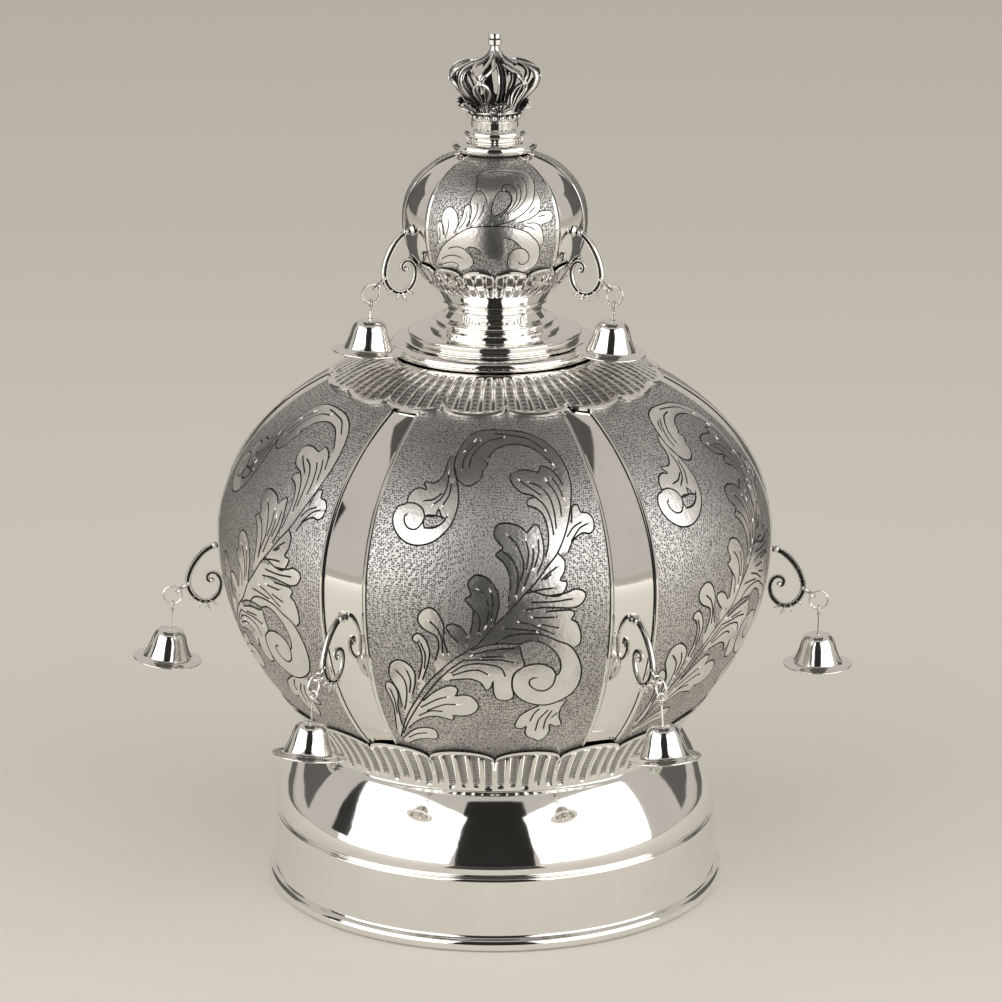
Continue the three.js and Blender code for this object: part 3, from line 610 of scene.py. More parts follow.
class Work:
    """Points and faces of one piece; each face has the index of its finish."""

    def __init__(self):
        self.points = []
        self.faces = []
        self.finishes = []

    def add(self, points, faces, finishes):
        start = len(self.points)
        self.points.extend(map(tuple, points))
        self.faces.extend(tuple(start + int(i) for i in face) for face in faces)
        if isinstance(finishes, int):
            finishes = [finishes] * len(faces)
        self.finishes.extend(finishes)

    def grid(self, rows, closed_across=True, closed_along=False, finish=0):
        """A skin over rows of points; `finish` may be one index or one for each face."""
        rows = np.asarray(rows, dtype=float)
        count, width = rows.shape[:2]
        faces = []
        for i in range(count if closed_along else count - 1):
            upper = (i + 1) % count
            for j in range(width if closed_across else width - 1):
                k = (j + 1) % width
                faces.append((i * width + j, i * width + k, upper * width + k, upper * width + j))
        self.add(rows.reshape(-1, 3), faces, finish)

    def fan(self, loop, facing):
        """Closes a loop with a polygon round its middle."""
        loop = np.asarray(loop, dtype=float)
        middle = loop.mean(axis=0)
        count = len(loop)
        faces = []
        for i in range(count):
            pair = (i, (i + 1) % count) if facing else ((i + 1) % count, i)
            faces.append((*pair, count))
        self.add([*loop, middle], faces, 0)

    def build(self, name, node, slot, finishes, sharp=35.0):
        """Makes the object in metres, lets it ride, and has it stand for its CAD node."""
        mesh = bpy.data.meshes.new(name)
        mesh.from_pydata([tuple(MM * part for part in point) for point in self.points], [], self.faces)
        for finish in finishes:
            mesh.materials.append(finish)
        mesh.polygons.foreach_set("material_index", self.finishes)
        mesh.update()
        mesh.shade_smooth()
        mesh.set_sharp_from_angle(angle=math.radians(sharp))
        piece = bpy.data.objects.new(name, mesh)
        bpy.context.collection.objects.link(piece)
        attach(piece, "root")
        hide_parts(node)
        return piece


def spot(radius, heading, z):
    """A point at a heading in degrees from the front (-Y) toward +X."""
    angle = np.radians(heading)
    return np.stack(np.broadcast_arrays(radius * np.sin(angle), -radius * np.cos(angle), z), axis=-1)


def even_headings(count):
    return np.arange(count) * 360.0 / count


def smooth_line(points, step, closed=False):
    """Points about `step` apart on a smooth curve through the given points."""
    given = np.asarray(points, dtype=float)
    if closed:
        ends = (given[-1:], given[:2])
    else:
        ends = (2 * given[:1] - given[1:2], 2 * given[-1:] - given[-2:-1])
    walk = np.concatenate([ends[0], given, ends[1]])
    made = []
    for i in range(1, len(walk) - 2):
        a, b, c, d = walk[i - 1:i + 3]
        parts = max(1, int(round(np.linalg.norm(c - b) / step)))
        for t in np.arange(parts) / parts:
            made.append(0.5 * (2 * b + (c - a) * t + (2 * a - 5 * b + 4 * c - d) * t * t
                               + (3 * b - a - 3 * c + d) * t ** 3))
    if not closed:
        made.append(given[-1])
    return np.array(made)


def rounded(outline, radius, steps=4):
    """An open outline with each inner corner rounded."""
    outline = [np.asarray(point, dtype=float) for point in outline]
    made = [outline[0]]
    for before, corner, after in zip(outline, outline[1:], outline[2:]):
        back = before - corner
        on = after - corner
        reach = min(radius, 0.45 * np.linalg.norm(back), 0.45 * np.linalg.norm(on))
        start = corner + back / np.linalg.norm(back) * reach
        end = corner + on / np.linalg.norm(on) * reach
        for t in np.linspace(0, 1, steps + 1):
            made.append((1 - t) ** 2 * start + 2 * t * (1 - t) * corner + t * t * end)
    made.append(outline[-1])
    return made


def moulding(radius, z, bulge, height, steps):
    """The right half of a round moulding, from its lower to its upper point."""
    angles = np.linspace(-0.5, 0.5, steps + 1) * math.pi
    return [(radius + bulge * math.cos(a), z + 0.5 * height * math.sin(a)) for a in angles]


def turned(work, outline, columns, closed=True, finish=0):
    """A surface of revolution from a [radius, z] outline."""
    headings = even_headings(columns)
    work.grid([spot(radius, headings, z) for radius, z in outline], closed_along=closed, finish=finish)


def swept(work, path, section, scale=None, across=None, finish=0):
    """Carries a closed section along a path; `across` holds the section's second axis steady."""
    path = np.asarray(path, dtype=float)
    scale = np.ones(len(path)) if scale is None else scale
    tangents = np.gradient(path, axis=0)
    tangents /= np.linalg.norm(tangents, axis=1)[:, None]
    side = np.cross(tangents[0], (0.31, 0.52, 0.79)) if across is None else np.asarray(across, float)
    rows = []
    for point, tangent, size in zip(path, tangents, scale):
        side = side - tangent * np.dot(side, tangent)
        side /= np.linalg.norm(side)
        out = np.cross(side, tangent)
        rows.append([point + size * (a * out + b * side) for a, b in section])
    work.grid(rows, finish=finish)
    work.fan(rows[0], False)
    work.fan(rows[-1], True)


def round_section(radius, sides):
    angles = np.arange(sides) * 2 * math.pi / sides
    return [(radius * math.cos(a), radius * math.sin(a)) for a in angles]


def ball(work, centre, radius, columns=14, rows=8, finish=0):
    centre = np.asarray(centre, dtype=float)
    rings = []
    for angle in np.linspace(-0.49, 0.49, rows + 1) * math.pi:
        ring = spot(radius * math.cos(angle), even_headings(columns), radius * math.sin(angle))
        rings.append(ring + centre)
    work.grid(rings, finish=finish)
    work.fan(rings[0], False)
    work.fan(rings[-1], True)


def wire_loop(work, centre, axis, radius, wire, steps=36, sides=10):
    axis = np.asarray(axis, dtype=float) / np.linalg.norm(axis)
    first = np.cross(axis, (0.13, 0.24, 0.96))
    first /= np.linalg.norm(first)
    second = np.cross(axis, first)
    rows = []
    for angle in np.arange(steps) * 2 * math.pi / steps:
        out = math.cos(angle) * first + math.sin(angle) * second
        rows.append([centre + out * (radius + a) + axis * b for a, b in round_section(wire, sides)])
    work.grid(rows, closed_along=True)


# ---- Globes -------------------------------------------------------------------------------


def globe_radius(globe, z):
    z = np.asarray(z, dtype=float)
    above = z >= globe["centre"]
    reach = np.where(above, globe["above"], globe["below"])
    power = np.where(above, globe["power_above"], globe["power_below"])
    part = np.minimum(1.0, np.abs(z - globe["centre"]) / reach)
    return globe["radius"] * (1 - part ** power) ** (1 / power)


def globe_top_at(globe, radius):
    part = (np.asarray(radius, dtype=float) / globe["radius"]) ** globe["power_above"]
    return globe["centre"] + globe["above"] * (1 - part) ** (1 / globe["power_above"])


def meridian(globe):
    """Radius, height and slope along a globe's side, by arc length up from the equator."""
    low = math.asin((globe["foot"] - globe["centre"]) / globe["below"])
    top = float(globe_top_at(globe, globe["top"]))
    high = math.asin((top - globe["centre"]) / globe["above"])
    angles = np.linspace(low, high, 1200)
    heights = globe["centre"] + np.where(angles < 0, globe["below"], globe["above"]) * np.sin(angles)
    radii = globe_radius(globe, heights)
    steps = np.hypot(np.diff(radii), np.diff(heights))
    arc = np.concatenate([[0.0], np.cumsum(steps)])
    arc -= np.interp(globe["centre"], heights, arc)
    return arc, radii, heights


def on_globe(globe, side, u, v, lift, turn):
    """Points `lift` off the globe at panel coordinates, for the panel turned by `turn` degrees."""
    arc, radii, heights = side
    radius = np.interp(v, arc, radii)
    z = np.interp(v, arc, heights)
    slope_r = np.interp(v + 0.5, arc, radii) - np.interp(v - 0.5, arc, radii)
    slope_z = np.interp(v + 0.5, arc, heights) - np.interp(v - 0.5, arc, heights)
    size = np.maximum(np.hypot(slope_r, slope_z), 1e-6)
    heading = np.degrees(u / globe["radius"]) + turn
    return spot(radius + lift * slope_z / size, heading, z - lift * slope_r / size)


def inside(points, polygon):
    """Which points lie in a closed polygon."""
    x, y = points[:, 0], points[:, 1]
    found = np.zeros(len(points), dtype=bool)
    for (x1, y1), (x2, y2) in zip(polygon, np.roll(polygon, -1, axis=0)):
        crosses = (y1 > y) != (y2 > y)
        if y1 != y2:
            found ^= crosses & (x < (x2 - x1) * (y - y1) / (y2 - y1) + x1)
    return found


def line_distance(points, lines):
    """Distance from each point to the nearest engraved line."""
    starts = np.concatenate([line[:-1] for line in lines])
    ends = np.concatenate([line[1:] for line in lines])
    span = ends - starts
    square = np.maximum((span ** 2).sum(axis=1), 1e-9)
    nearest = np.empty(len(points))
    for i in range(0, len(points), 1500):
        part = points[i:i + 1500, None, :] - starts[None]
        along = np.clip((part * span).sum(axis=2) / square, 0, 1)
        nearest[i:i + 1500] = np.sqrt(((part - along[..., None] * span) ** 2).sum(axis=2)).min(axis=1)
    return nearest


class ChasedPanel:
    """The ornament of one globe panel, triangulated flat in panel coordinates."""

    def __init__(self, globe, leaves, holes, veins, line_width, step, pitch):
        self.globe = globe
        self.side = meridian(globe)
        self.half_line = 0.5 * line_width
        outlines = [smooth_line(outline, step) for outline, _ in leaves]
        self.fills = []
        for outline, (_, root) in zip(outlines, leaves):
            self.fills.append(np.concatenate([outline, np.array(root, float).reshape(-1, 2)]))
        self.holes = [smooth_line(hole, step, closed=True) for hole in holes]
        rims = [np.concatenate([hole, hole[:1]]) for hole in self.holes]
        self.lines = outlines + rims + [smooth_line(vein, step) for vein in veins]
        self.frame_panel(step, pitch)

    def frame_panel(self, step, pitch):
        """Cuts the panel into triangles that follow every engraved line."""
        half = 180.0 / self.globe["ribs"] - self.globe["rib_half"]
        centre = self.globe["rib_start"] - 180.0 / self.globe["ribs"]
        edges = np.radians([centre - half, centre + half]) * self.globe["radius"]
        low, high = self.side[0][0], self.side[0][-1]
        self.rows = np.linspace(low, high, int((high - low) / (1.5 * step)) + 1)
        vertices, links = [], []

        def chain(points, closed=False):
            first = len(vertices)
            vertices.extend(Vector((float(a), float(b))) for a, b in points)
            count = len(points)
            links.extend((first + i, first + i + 1) for i in range(count - 1))
            if closed:
                links.append((first + count - 1, first))

        across = np.linspace(edges[0], edges[1], int((edges[1] - edges[0]) / pitch) + 1)
        chain([
            *[(edges[0], v) for v in self.rows], *[(u, high) for u in across[1:]],
            *[(edges[1], v) for v in self.rows[-2::-1]], *[(u, low) for u in across[-2:0:-1]],
        ], closed=True)
        for line in self.lines:
            run = np.gradient(line, axis=0)
            run /= np.maximum(np.linalg.norm(run, axis=1), 1e-9)[:, None]
            aside = np.stack([-run[:, 1], run[:, 0]], axis=1) * self.half_line
            for side in (line - aside, line, line + aside):
                kept = (side[:, 0] > edges[0] + 0.3) & (side[:, 0] < edges[1] - 0.3)
                kept &= (side[:, 1] > low + 0.3) & (side[:, 1] < high - 0.3)
                if kept.all():
                    chain(side)
        filler = np.stack(np.meshgrid(across[1:-1], np.arange(low + pitch, high, pitch)), axis=-1)
        filler = filler.reshape(-1, 2)
        filler[:, 0] += 0.3 * pitch * np.sin(filler[:, 1] * 2.1)
        filler = filler[line_distance(filler, self.lines) > 1.5 * self.half_line + 0.2 * pitch]
        filler = filler[(filler[:, 0] > edges[0] + 0.5) & (filler[:, 0] < edges[1] - 0.5)]
        vertices.extend(Vector((float(a), float(b))) for a, b in filler)
        cut = delaunay_2d_cdt(vertices, links, [], 0, 1e-4)
        self.points = np.array([tuple(point) for point in cut[0]])
        self.triangles = np.array([tuple(face) for face in cut[2]])

    def in_leaf(self, points):
        found = np.zeros(len(points), dtype=bool)
        for fill in self.fills:
            found |= inside(points, fill)
        for hole in self.holes:
            found &= ~inside(points, hole)
        return found

    def finish(self, leaf_height, line_depth):
        """Heights of the points and a finish for each triangle: ground 0, leaf 1, line 2."""
        reach = line_distance(self.points, self.lines)
        raised = self.in_leaf(self.points)
        pillow = 0.6 + 0.4 * (1 - np.exp(-reach / (4.0 * self.half_line)))
        groove = line_depth * np.maximum(0, 1 - reach / self.half_line)
        self.lift = raised * leaf_height * pillow - groove
        middles = self.points[self.triangles].mean(axis=1)
        near = line_distance(middles, self.lines) < 0.95 * self.half_line
        self.kinds = np.where(near, 2, self.in_leaf(middles).astype(int))

    def add_to(self, work, turn):
        points = on_globe(self.globe, self.side, self.points[:, 0], self.points[:, 1], self.lift, turn)
        work.add(points, self.triangles, self.kinds.tolist())


def add_ribs(work, panel, width_mm, bead_mm):
    """Smooth ribs between the panels, each with a bead and a dark line along both sides."""
    globe = panel.globe
    half = math.radians(globe["rib_half"]) * globe["radius"]
    side = [
        (1.0, 0.0), (1.0 - 0.35 * width_mm / half, 0.75 * bead_mm), (1.0 - 0.8 * width_mm / half, bead_mm),
        (1.0 - 1.25 * width_mm / half, 0.7 * bead_mm), (1.0 - 1.6 * width_mm / half, -0.5 * bead_mm),
        (1.0 - 2.0 * width_mm / half, -1.3 * bead_mm), (1.0 - 2.5 * width_mm / half, -1.2 * bead_mm),
    ]
    floor = np.linspace(side[-1][0], -side[-1][0], 11)[1:-1]
    columns = [*side, *[(x, -1.2 * bead_mm + 0.5 * bead_mm * (1 - (x / side[-1][0]) ** 2)) for x in floor]]
    columns += [(-x, lift) for x, lift in reversed(side)]
    kinds = [2 if i in (4, len(columns) - 6) else 3 for i in range(len(columns) - 1)]
    places = np.array([x * half for x, _ in columns])
    lifts = np.array([lift for _, lift in columns])
    ends = np.clip((panel.rows - panel.rows[0] - 12.0) / 10.0, 0.15, 1)
    for rib in range(globe["ribs"]):
        turn = globe["rib_start"] + rib * 360.0 / globe["ribs"]
        rows = [
            on_globe(globe, panel.side, places, np.full(len(places), v), lifts * end, turn)
            for v, end in zip(panel.rows, ends)
        ]
        work.grid(rows, closed_across=False, finish=kinds * (len(rows) - 1))


def add_lining(work, globe, wall):
    """The plain inside of a globe and the two rims that join it to the outside."""
    arc, radii, heights = meridian(globe)
    keep = np.linspace(0, len(arc) - 1, 44).astype(int)
    outline = [(radii[i] - wall - 0.5, heights[i] - (wall if i > len(arc) // 2 else 0)) for i in keep]
    outline = [(max(radius, globe["top"] - 0.2), z) for radius, z in outline]
    outline = [(radii[0] - 0.15, heights[0]), *outline, (radii[-1], heights[-1] - 0.1)]
    turned(work, outline[::-1], 96, closed=False, finish=3)


def chased_globe(name, globe, leaves, holes, veins, line_width, step, pitch, bead):
    """The engraved shell and the ribs of one globe, with the same ornament in every panel."""
    chasing = bpy.context.scene.crown_chasing
    panel = ChasedPanel(globe, leaves, holes, veins, line_width, step, pitch)
    panel.finish(chasing.leaf_height / MM, chasing.line_depth / MM)
    work = Work()
    for i in range(globe["ribs"]):
        panel.add_to(work, 360.0 / globe["ribs"] * i)
    add_lining(work, globe, GLOBE_WALL)
    work.build(f"{name}_chased", name, "chased_silver", chased_finishes(), sharp=18.0)
    ribs = Work()
    add_ribs(ribs, panel, RIB_BORDER, bead)
    return ribs.build(f"{name}_ribs", name, "polished_silver", chased_finishes(), sharp=50.0)


# ---- Fluted leaf borders ------------------------------------------------------------------


def scallop(heading, count):
    """0 in the notch between two scallops, 1 along most of each scallop."""
    phase = (heading * count / 360.0) % 1.0
    turn = np.abs(2 * phase - 1)
    return np.maximum(0, 1 - turn ** 2) ** 0.45


def slot_depth(heading, count):
    """1 at the floor of each slot and 0 on the ridge between two slots."""
    phase = (heading * count / 360.0) % 1.0
    turn = np.abs(2 * phase - 1)
    return 0.5 + 0.5 * np.cos(math.pi * np.clip((turn - 0.22) / 0.6, 0, 1))


def fade(t, start, end):
    part = np.clip((t - start) / (end - start), 0, 1)
    return part * part * (3 - 2 * part)


def leaf_border(work, headings, rows, scallops, flutes, depth, bead, along):
    """Slots cut into a fluted border and a raised line along its scalloped edge.

    `rows` gives radius and z at t from 0, the plain end, to 1, the edge; `along` is the
    direction, as (radius, z), in which the line rises and against which the slots sink."""
    out_r, out_z = along
    made, kinds = [], []
    slots = slot_depth(headings, scallops * flutes)
    short = 0.10 * (0.5 + 0.5 * np.sin(np.floor(headings * scallops * flutes / 360.0) * 2.4))
    for t in rows["t"]:
        radius, z = rows["at"](t)
        cut = slots * fade(t, 0.02 + short, 0.16 + short) * (1 - fade(t, 0.86, 0.95))
        rise = bead * math.exp(-((t - 0.965) / 0.028) ** 2)
        lift = rise - depth * cut
        made.append(spot(radius + out_r * lift, headings, z + out_z * lift))
        kinds.append(cut)
    finishes = []
    for lower, upper in zip(kinds, kinds[1:]):
        deep = 0.25 * (lower + np.roll(lower, -1) + upper + np.roll(upper, -1))
        finishes.extend(np.where(deep > 0.5, 2, 0).tolist())
    work.grid(made, finish=finishes)
    return made[-1]


BORDER_STEPS = np.concatenate([np.linspace(0, 0.9, 19), np.linspace(0.915, 1.0, 9)])


def build_base_ring():
    edges = bpy.context.scene.crown_edges
    scallops, flutes = edges.base_scallops, edges.base_flutes
    work = Work()
    rim = moulding(BASE_RADIUS - 2.6, 3.05, 2.6, 5.9, 12)
    band = rounded([
        (BASE_RADIUS - 2.6, 6.0), (BASE_RADIUS - 3.0, 6.6), (BASE_RADIUS - 3.6, 30.6),
        (BASE_RADIUS - 3.9, 31.5), (95.0, 31.9), (94.9, 32.4),
    ], 0.7)
    shoulder = smooth_line([
        (94.9, 32.4), (95.7, 33.4), (95.9, 35.2), (95.5, 38.0), (94.4, 42.0), (92.8, 46.0),
        (90.9, 50.0), (88.8, 54.0), (86.4, 58.0), (84.0, 61.5), (82.2, 63.8), (81.3, 64.6),
        (80.9, 65.2),
    ], 0.9)
    turned(work, [(93.8, 0), *rim, *band[1:], *shoulder[1:]], 240, closed=False)

    headings = even_headings(scallops * flutes * 9)
    lift = scallop(headings, scallops)
    edge_z = 80.4 + 6.4 * lift
    edge_r = globe_radius(LARGE, edge_z) + 1.6

    def outer(t):
        a, b, c = (1 - t) ** 2, 2 * t * (1 - t), t * t
        return 80.9 * a + 81.2 * b + edge_r * c, 65.2 * a + 72.0 * b + edge_z * c

    rows = {"t": BORDER_STEPS, "at": outer}
    top = leaf_border(work, headings, rows, scallops, flutes, edges.flute_depth / MM,
                      edges.edge_bead / MM, (0.93, -0.36))
    lip = spot(edge_r - 1.0, headings, edge_z - 0.2)
    under = spot(globe_radius(LARGE, 77.5) + 0.8, headings, np.full(len(headings), 77.5))
    work.grid([top, lip, under])
    turned(work, [
        (float(globe_radius(LARGE, 77.5)) + 0.8, 77.5), (79.6, 72.9), (73.6, 72.9), (73.6, 71.6),
        (79.7, 69), (79.7, 64), (89.2, 50), (93.6, 40), (94.2, 36), (92.4, 32),
        (BASE_RADIUS - 5.6, 29), (93.8, 0),
    ], 120, closed=False)
    return work.build("base_ring_silver", "base_ring", "polished_silver", plain_finishes())


def build_skirt():
    edges = bpy.context.scene.crown_edges
    scallops, flutes = edges.skirt_scallops, edges.skirt_flutes
    work = Work()
    headings = even_headings(scallops * flutes * 9) + SKIRT["shift"]
    notch = SKIRT["notch"] * (1 - scallop(headings - SKIRT["shift"], scallops))
    rim = SKIRT["radius"] - 0.2 - notch

    def seat(radius):
        return globe_top_at(LARGE, radius) + GAP

    def outer(t):
        radius = 44.8 + (rim - 44.8) * t
        return radius, seat(radius) + SKIRT["thickness"] + 0.75 * math.sin(math.pi * min(1, t * 1.1)) ** 0.8

    rows = {"t": BORDER_STEPS, "at": outer}
    edge = leaf_border(work, headings - SKIRT["shift"], rows, scallops, flutes, 0.8, 0.4, (0.3, 0.95))
    turn = math.radians(SKIRT["shift"])
    spin = np.array([
        [math.cos(turn), -math.sin(turn), 0], [math.sin(turn), math.cos(turn), 0], [0, 0, 1],
    ])
    work.points = [tuple(spin @ np.asarray(point)) for point in work.points]
    edge = edge @ spin.T
    lower = spot(rim - 0.3, headings, seat(rim))
    inner = spot(rim * 0 + 54.0, headings, seat(52.0) + rim * 0)
    work.grid([edge, lower, inner])
    turned(work, [
        (54.0, float(seat(52.0))), (46.0, float(seat(44.0))), (SKIRT["bore"], float(seat(42.0))),
        (SKIRT["bore"], float(seat(45.5)) + SKIRT["thickness"]),
        (44.8, float(seat(44.8)) + SKIRT["thickness"]),
    ], 96, closed=False)
    finishes = chased_finishes()
    return work.build("neck_skirt_chased", "neck_skirt", "chased_silver",
                      [finishes[3], finishes[2], plain_finishes()[2]])


def build_neck():
    edges = bpy.context.scene.crown_edges
    scallops, flutes = edges.cup_scallops, edges.cup_flutes
    work = Work()
    foot = float(globe_top_at(LARGE, 45.5)) + 2 * GAP + SKIRT["thickness"]
    outline = [
        (39.0, foot), *moulding(42.0, foot + 2.6, 2.8, 5.2, 12), (40.2, 240.4),
        *moulding(38.1, 241.15, 0.7, 1.1, 5),
        *rounded([(36.4, 241.9), (36.9, 242.1), (36.9, 244.7), (36.2, 245.4), (29.6, 245.7)], 0.5, 3),
        *rounded([(28.0, 246.0), (28.0, 247.5), (26.4, 248.2)], 0.4, 3),
        *moulding(24.6, 249.7, 1.0, 1.5, 6),
        *smooth_line([(23.6, 250.9), (21.0, 252.0), (19.9, 254.0), (20.0, 256.0), (20.6, 257.0)], 0.6),
        *moulding(21.0, 258.0, 1.2, 1.6, 6),
        *smooth_line([(22.0, 259.2), (23.0, 261.0), (24.6, 263.4)], 0.8),
    ]
    turned(work, outline, 160, closed=False)
    headings = even_headings(scallops * flutes * 12)
    lift = scallop(headings, scallops)
    edge_z = 273.4 + 4.2 * lift
    edge_r = globe_radius(SMALL, edge_z) + 1.5

    def outer(t):
        a, b, c = (1 - t) ** 2, 2 * t * (1 - t), t * t
        return 24.6 * a + 29.6 * b + edge_r * c, 263.4 * a + 265.8 * b + edge_z * c

    rows = {"t": BORDER_STEPS, "at": outer}
    top = leaf_border(work, headings, rows, scallops, flutes, 0.75, 0.35, (0.85, -0.5))
    lip = spot(edge_r - 0.7, headings, edge_z - 0.1)
    under = spot(31.2 + edge_r * 0, headings, 269.2 + edge_r * 0)
    work.grid([top, lip, under])
    turned(work, [
        (31.2, 269.2), (24.0, 264.8), (18.4, 256.0), (27.0, 245.0), (35.8, 241.0), (39.0, foot),
    ], 96, closed=False)
    return work.build("neck_silver", "neck", "polished_silver", plain_finishes())


def build_stem():
    work = Work()
    foot = float(globe_top_at(SMALL, 14.0)) + GAP
    outline = [
        (11.5, foot), *moulding(15.0, foot + 2.3, 2.7, 4.6, 12), (12.4, foot + 4.9),
        *moulding(11.3, foot + 5.5, 0.5, 0.9, 5), *moulding(11.0, foot + 7.9, 1.8, 3.4, 10),
        (10.4, foot + 9.9), (9.9, foot + 10.2), (9.9, STEM_TOP - 0.3), (9.6, STEM_TOP),
        (8.6, STEM_TOP), (8.6, foot + 1.2),
    ]
    turned(work, outline, 96)
    for heading in even_headings(40):
        ball(work, spot(11.6, heading, foot + 5.5), 0.42, 8, 5)
    return work.build("finial_stem_silver", "finial_stem", "polished_silver", plain_finishes())


# ---- Cast openwork crown ------------------------------------------------------------------


def upright(heading, outline, step=0.45):
    """A smooth curve in the upright plane at one heading, through [radius, z] points."""
    line = smooth_line(outline, step)
    return spot(line[:, 0], heading, line[:, 1])


# Two edge ridges, two grooves and a middle ridge; the grooves hold oxide, and the backs, which face the
# crown's middle, are painted dark as oxide and painted shade.
STRAP_SECTION = (
    (-0.45, -1.0), (-0.2, -1.05), (0.35, -0.98), (0.5, -0.78), (0.02, -0.6), (0.02, -0.34),
    (0.62, 0.0), (0.02, 0.34), (0.02, 0.6), (0.5, 0.78), (0.35, 0.98), (-0.2, 1.05), (-0.45, 1.0),
)
STRAP_KINDS = [1, 0, 0, 1, 1, 0, 0, 1, 1, 0, 0, 1, 1]


def add_strap(work, heading):
    foot = CORONET["foot"]
    path = upright(heading, [
        (10.2, foot + 3.8), (11.6, foot + 7.2), (14.2, foot + 10.8), (17.6, foot + 14.4),
        (18.8, 353.4), (17.8, 356.6), (14.6, 358.6), (10.4, 359.6), (6.4, 360.4), (3.4, 362.2),
        (2.2, 364.4),
    ])
    size = np.interp(np.linspace(0, 1, len(path)), [0, 0.45, 0.75, 1], [1.75, 1.8, 1.45, 0.6])
    tangent = spot(1.0, heading + 90.0, 0.0)
    swept(work, path, STRAP_SECTION, size, across=tangent, finish=STRAP_KINDS * (len(path) - 1))


def add_shell(work, heading, ribs):
    """A ribbed fan that opens upward in front of a strap's foot."""
    foot = CORONET["foot"]
    rays = np.linspace(-1, 1, 6 * ribs + 1)
    steps = np.linspace(0.0, 1.0, 8)
    across = spot(1.0, heading + 90.0, 0.0)
    out = spot(1.0, heading, 0.0)
    base = spot(11.6, heading, foot + 3.9)
    up = 0.86 * np.array((0.0, 0.0, 1.0)) + 0.5 * out
    face = np.cross(across, up)
    face *= np.sign(np.dot(face, out))
    angle = rays * math.radians(74)
    ridges = np.cos(0.5 * rays * ribs * math.pi) ** 2
    front, back = [], []
    for t in steps:
        reach = 5.4 * (0.08 + 0.92 * t) * (1 - 0.1 * rays ** 2) * (1 + 0.12 * ridges * t)
        ridge = 0.35 + (0.3 + 0.9 * t) * ridges
        flat = base + np.outer(reach * np.sin(angle), across) + np.outer(reach * np.cos(angle), up)
        front.append(flat + np.outer(ridge + 0.5 * t * t, face))
        back.append(flat + np.outer(0.5 * t * t - 0.35 + 0 * ridge, face))
    rows = [np.concatenate([f, b[::-1]]) for f, b in zip(front, back)]
    # The valleys hold oxide; the back, which faces the strap and the crown's middle, is painted dark as
    # oxide and painted shade.
    valleys = (ridges[1:] + ridges[:-1] < 0.7).astype(int).tolist()
    backs = [1] * (len(rows[0]) - len(valleys))
    work.grid(rows, finish=(valleys + backs) * (len(rows) - 1))
    work.fan(rows[0], False)
    work.fan(rows[-1], True)
    ball(work, base + 0.4 * out, 1.0, 10, 6)


def add_wire(work, points, section, heading):
    """A round wire whose inner half, toward the crown's middle, is painted dark as oxide and painted shade.
    """
    path = smooth_line(points, 0.6)
    kinds = [1 if a < 0.1 and b < 0.9 * section[0][0] else 0 for a, b in section]
    swept(work, path, section, across=spot(1.0, heading + 90.0, 0.0), finish=kinds * (len(path) - 1))


def add_teardrop(work, heading):
    """Wires that rise in a V to a knob of small balls and arch on to both straps and the top."""
    foot = CORONET["foot"]
    wire = round_section(0.74, 8)
    knob = spot(18.6, heading, 353.2)
    for side in (-1, 1):
        rise = np.array([
            spot(10.4, heading + side * 4, foot + 3.8), spot(12.2, heading + side * 7, foot + 8.0),
            spot(15.0, heading + side * 12, foot + 12.0), spot(17.4, heading + side * 9, foot + 15.6),
            knob,
        ])
        add_wire(work, rise, wire, heading)
        arch = np.array([
            knob, spot(17.9, heading + side * 9, 356.4), spot(14.6, heading + side * 17, 358.6),
            spot(11.0, heading + side * 23, 359.6),
        ])
        add_wire(work, arch, wire, heading)
        inner = np.array([
            spot(10.6, heading + side * 2, foot + 4.4), spot(13.8, heading + side * 3.5, foot + 10.0),
            spot(17.0, heading + side * 4.5, foot + 14.0), spot(18.0, heading + side * 1.5, 352.0),
        ])
        add_wire(work, inner, round_section(0.46, 8), heading)
    ball(work, knob + spot(0.5, heading, 0.0), 1.1, 12, 8)
    for turn in range(3):
        angle = math.radians(120 * turn + 90)
        shift = spot(0.9 * math.cos(angle), heading + 90, 0.9 * math.sin(angle))
        ball(work, knob + spot(1.0, heading, 0.0) + shift, 0.55, 8, 6)
    over = upright(heading, [(18.2, 353.8), (16.4, 357.0), (11.6, 358.8), (6.0, 360.6), (2.4, 363.6)])
    swept(work, over, wire)


def build_coronet():
    casting = bpy.context.scene.crown_casting
    foot, top = CORONET["foot"], CORONET["top"]
    work = Work()
    turned(work, [
        (9.2, foot), (10.4, foot), (10.7, foot + 0.8), (10.4, foot + 2.6),
        *moulding(10.5, foot + 3.5, 0.75, 1.4, 6), (9.2, foot + 4.2),
    ], 72)
    for heading in even_headings(casting.beads):
        ball(work, spot(10.6, heading, foot + 1.7), 1.2, 12, 8)
    pitch = 360.0 / CORONET["arches"]
    for i in range(CORONET["arches"]):
        heading = CORONET["start"] + pitch * i
        add_strap(work, heading)
        add_shell(work, heading, casting.shell_ribs)
        add_teardrop(work, heading + 0.5 * pitch)
    turned(work, [
        (0.05, 361.2), (4.4, 361.4), (3.6, 362.4),
        *smooth_line([(2.9, 363.4), (2.1, 365.0), (1.9, 366.4)], 0.4),
        (2.8, 366.9), (2.9, 368.9), (2.2, 369.2), (2.1, 369.4), (2.6, 369.6), (2.6, top - 0.3),
        (2.3, top), (0.05, top),
    ], 40, closed=False)
    return work.build("mini_crown_cast", "mini_crown", "cast_silver", cast_finishes())


# ---- Arms, rings, hangers and bells --------------------------------------------------------

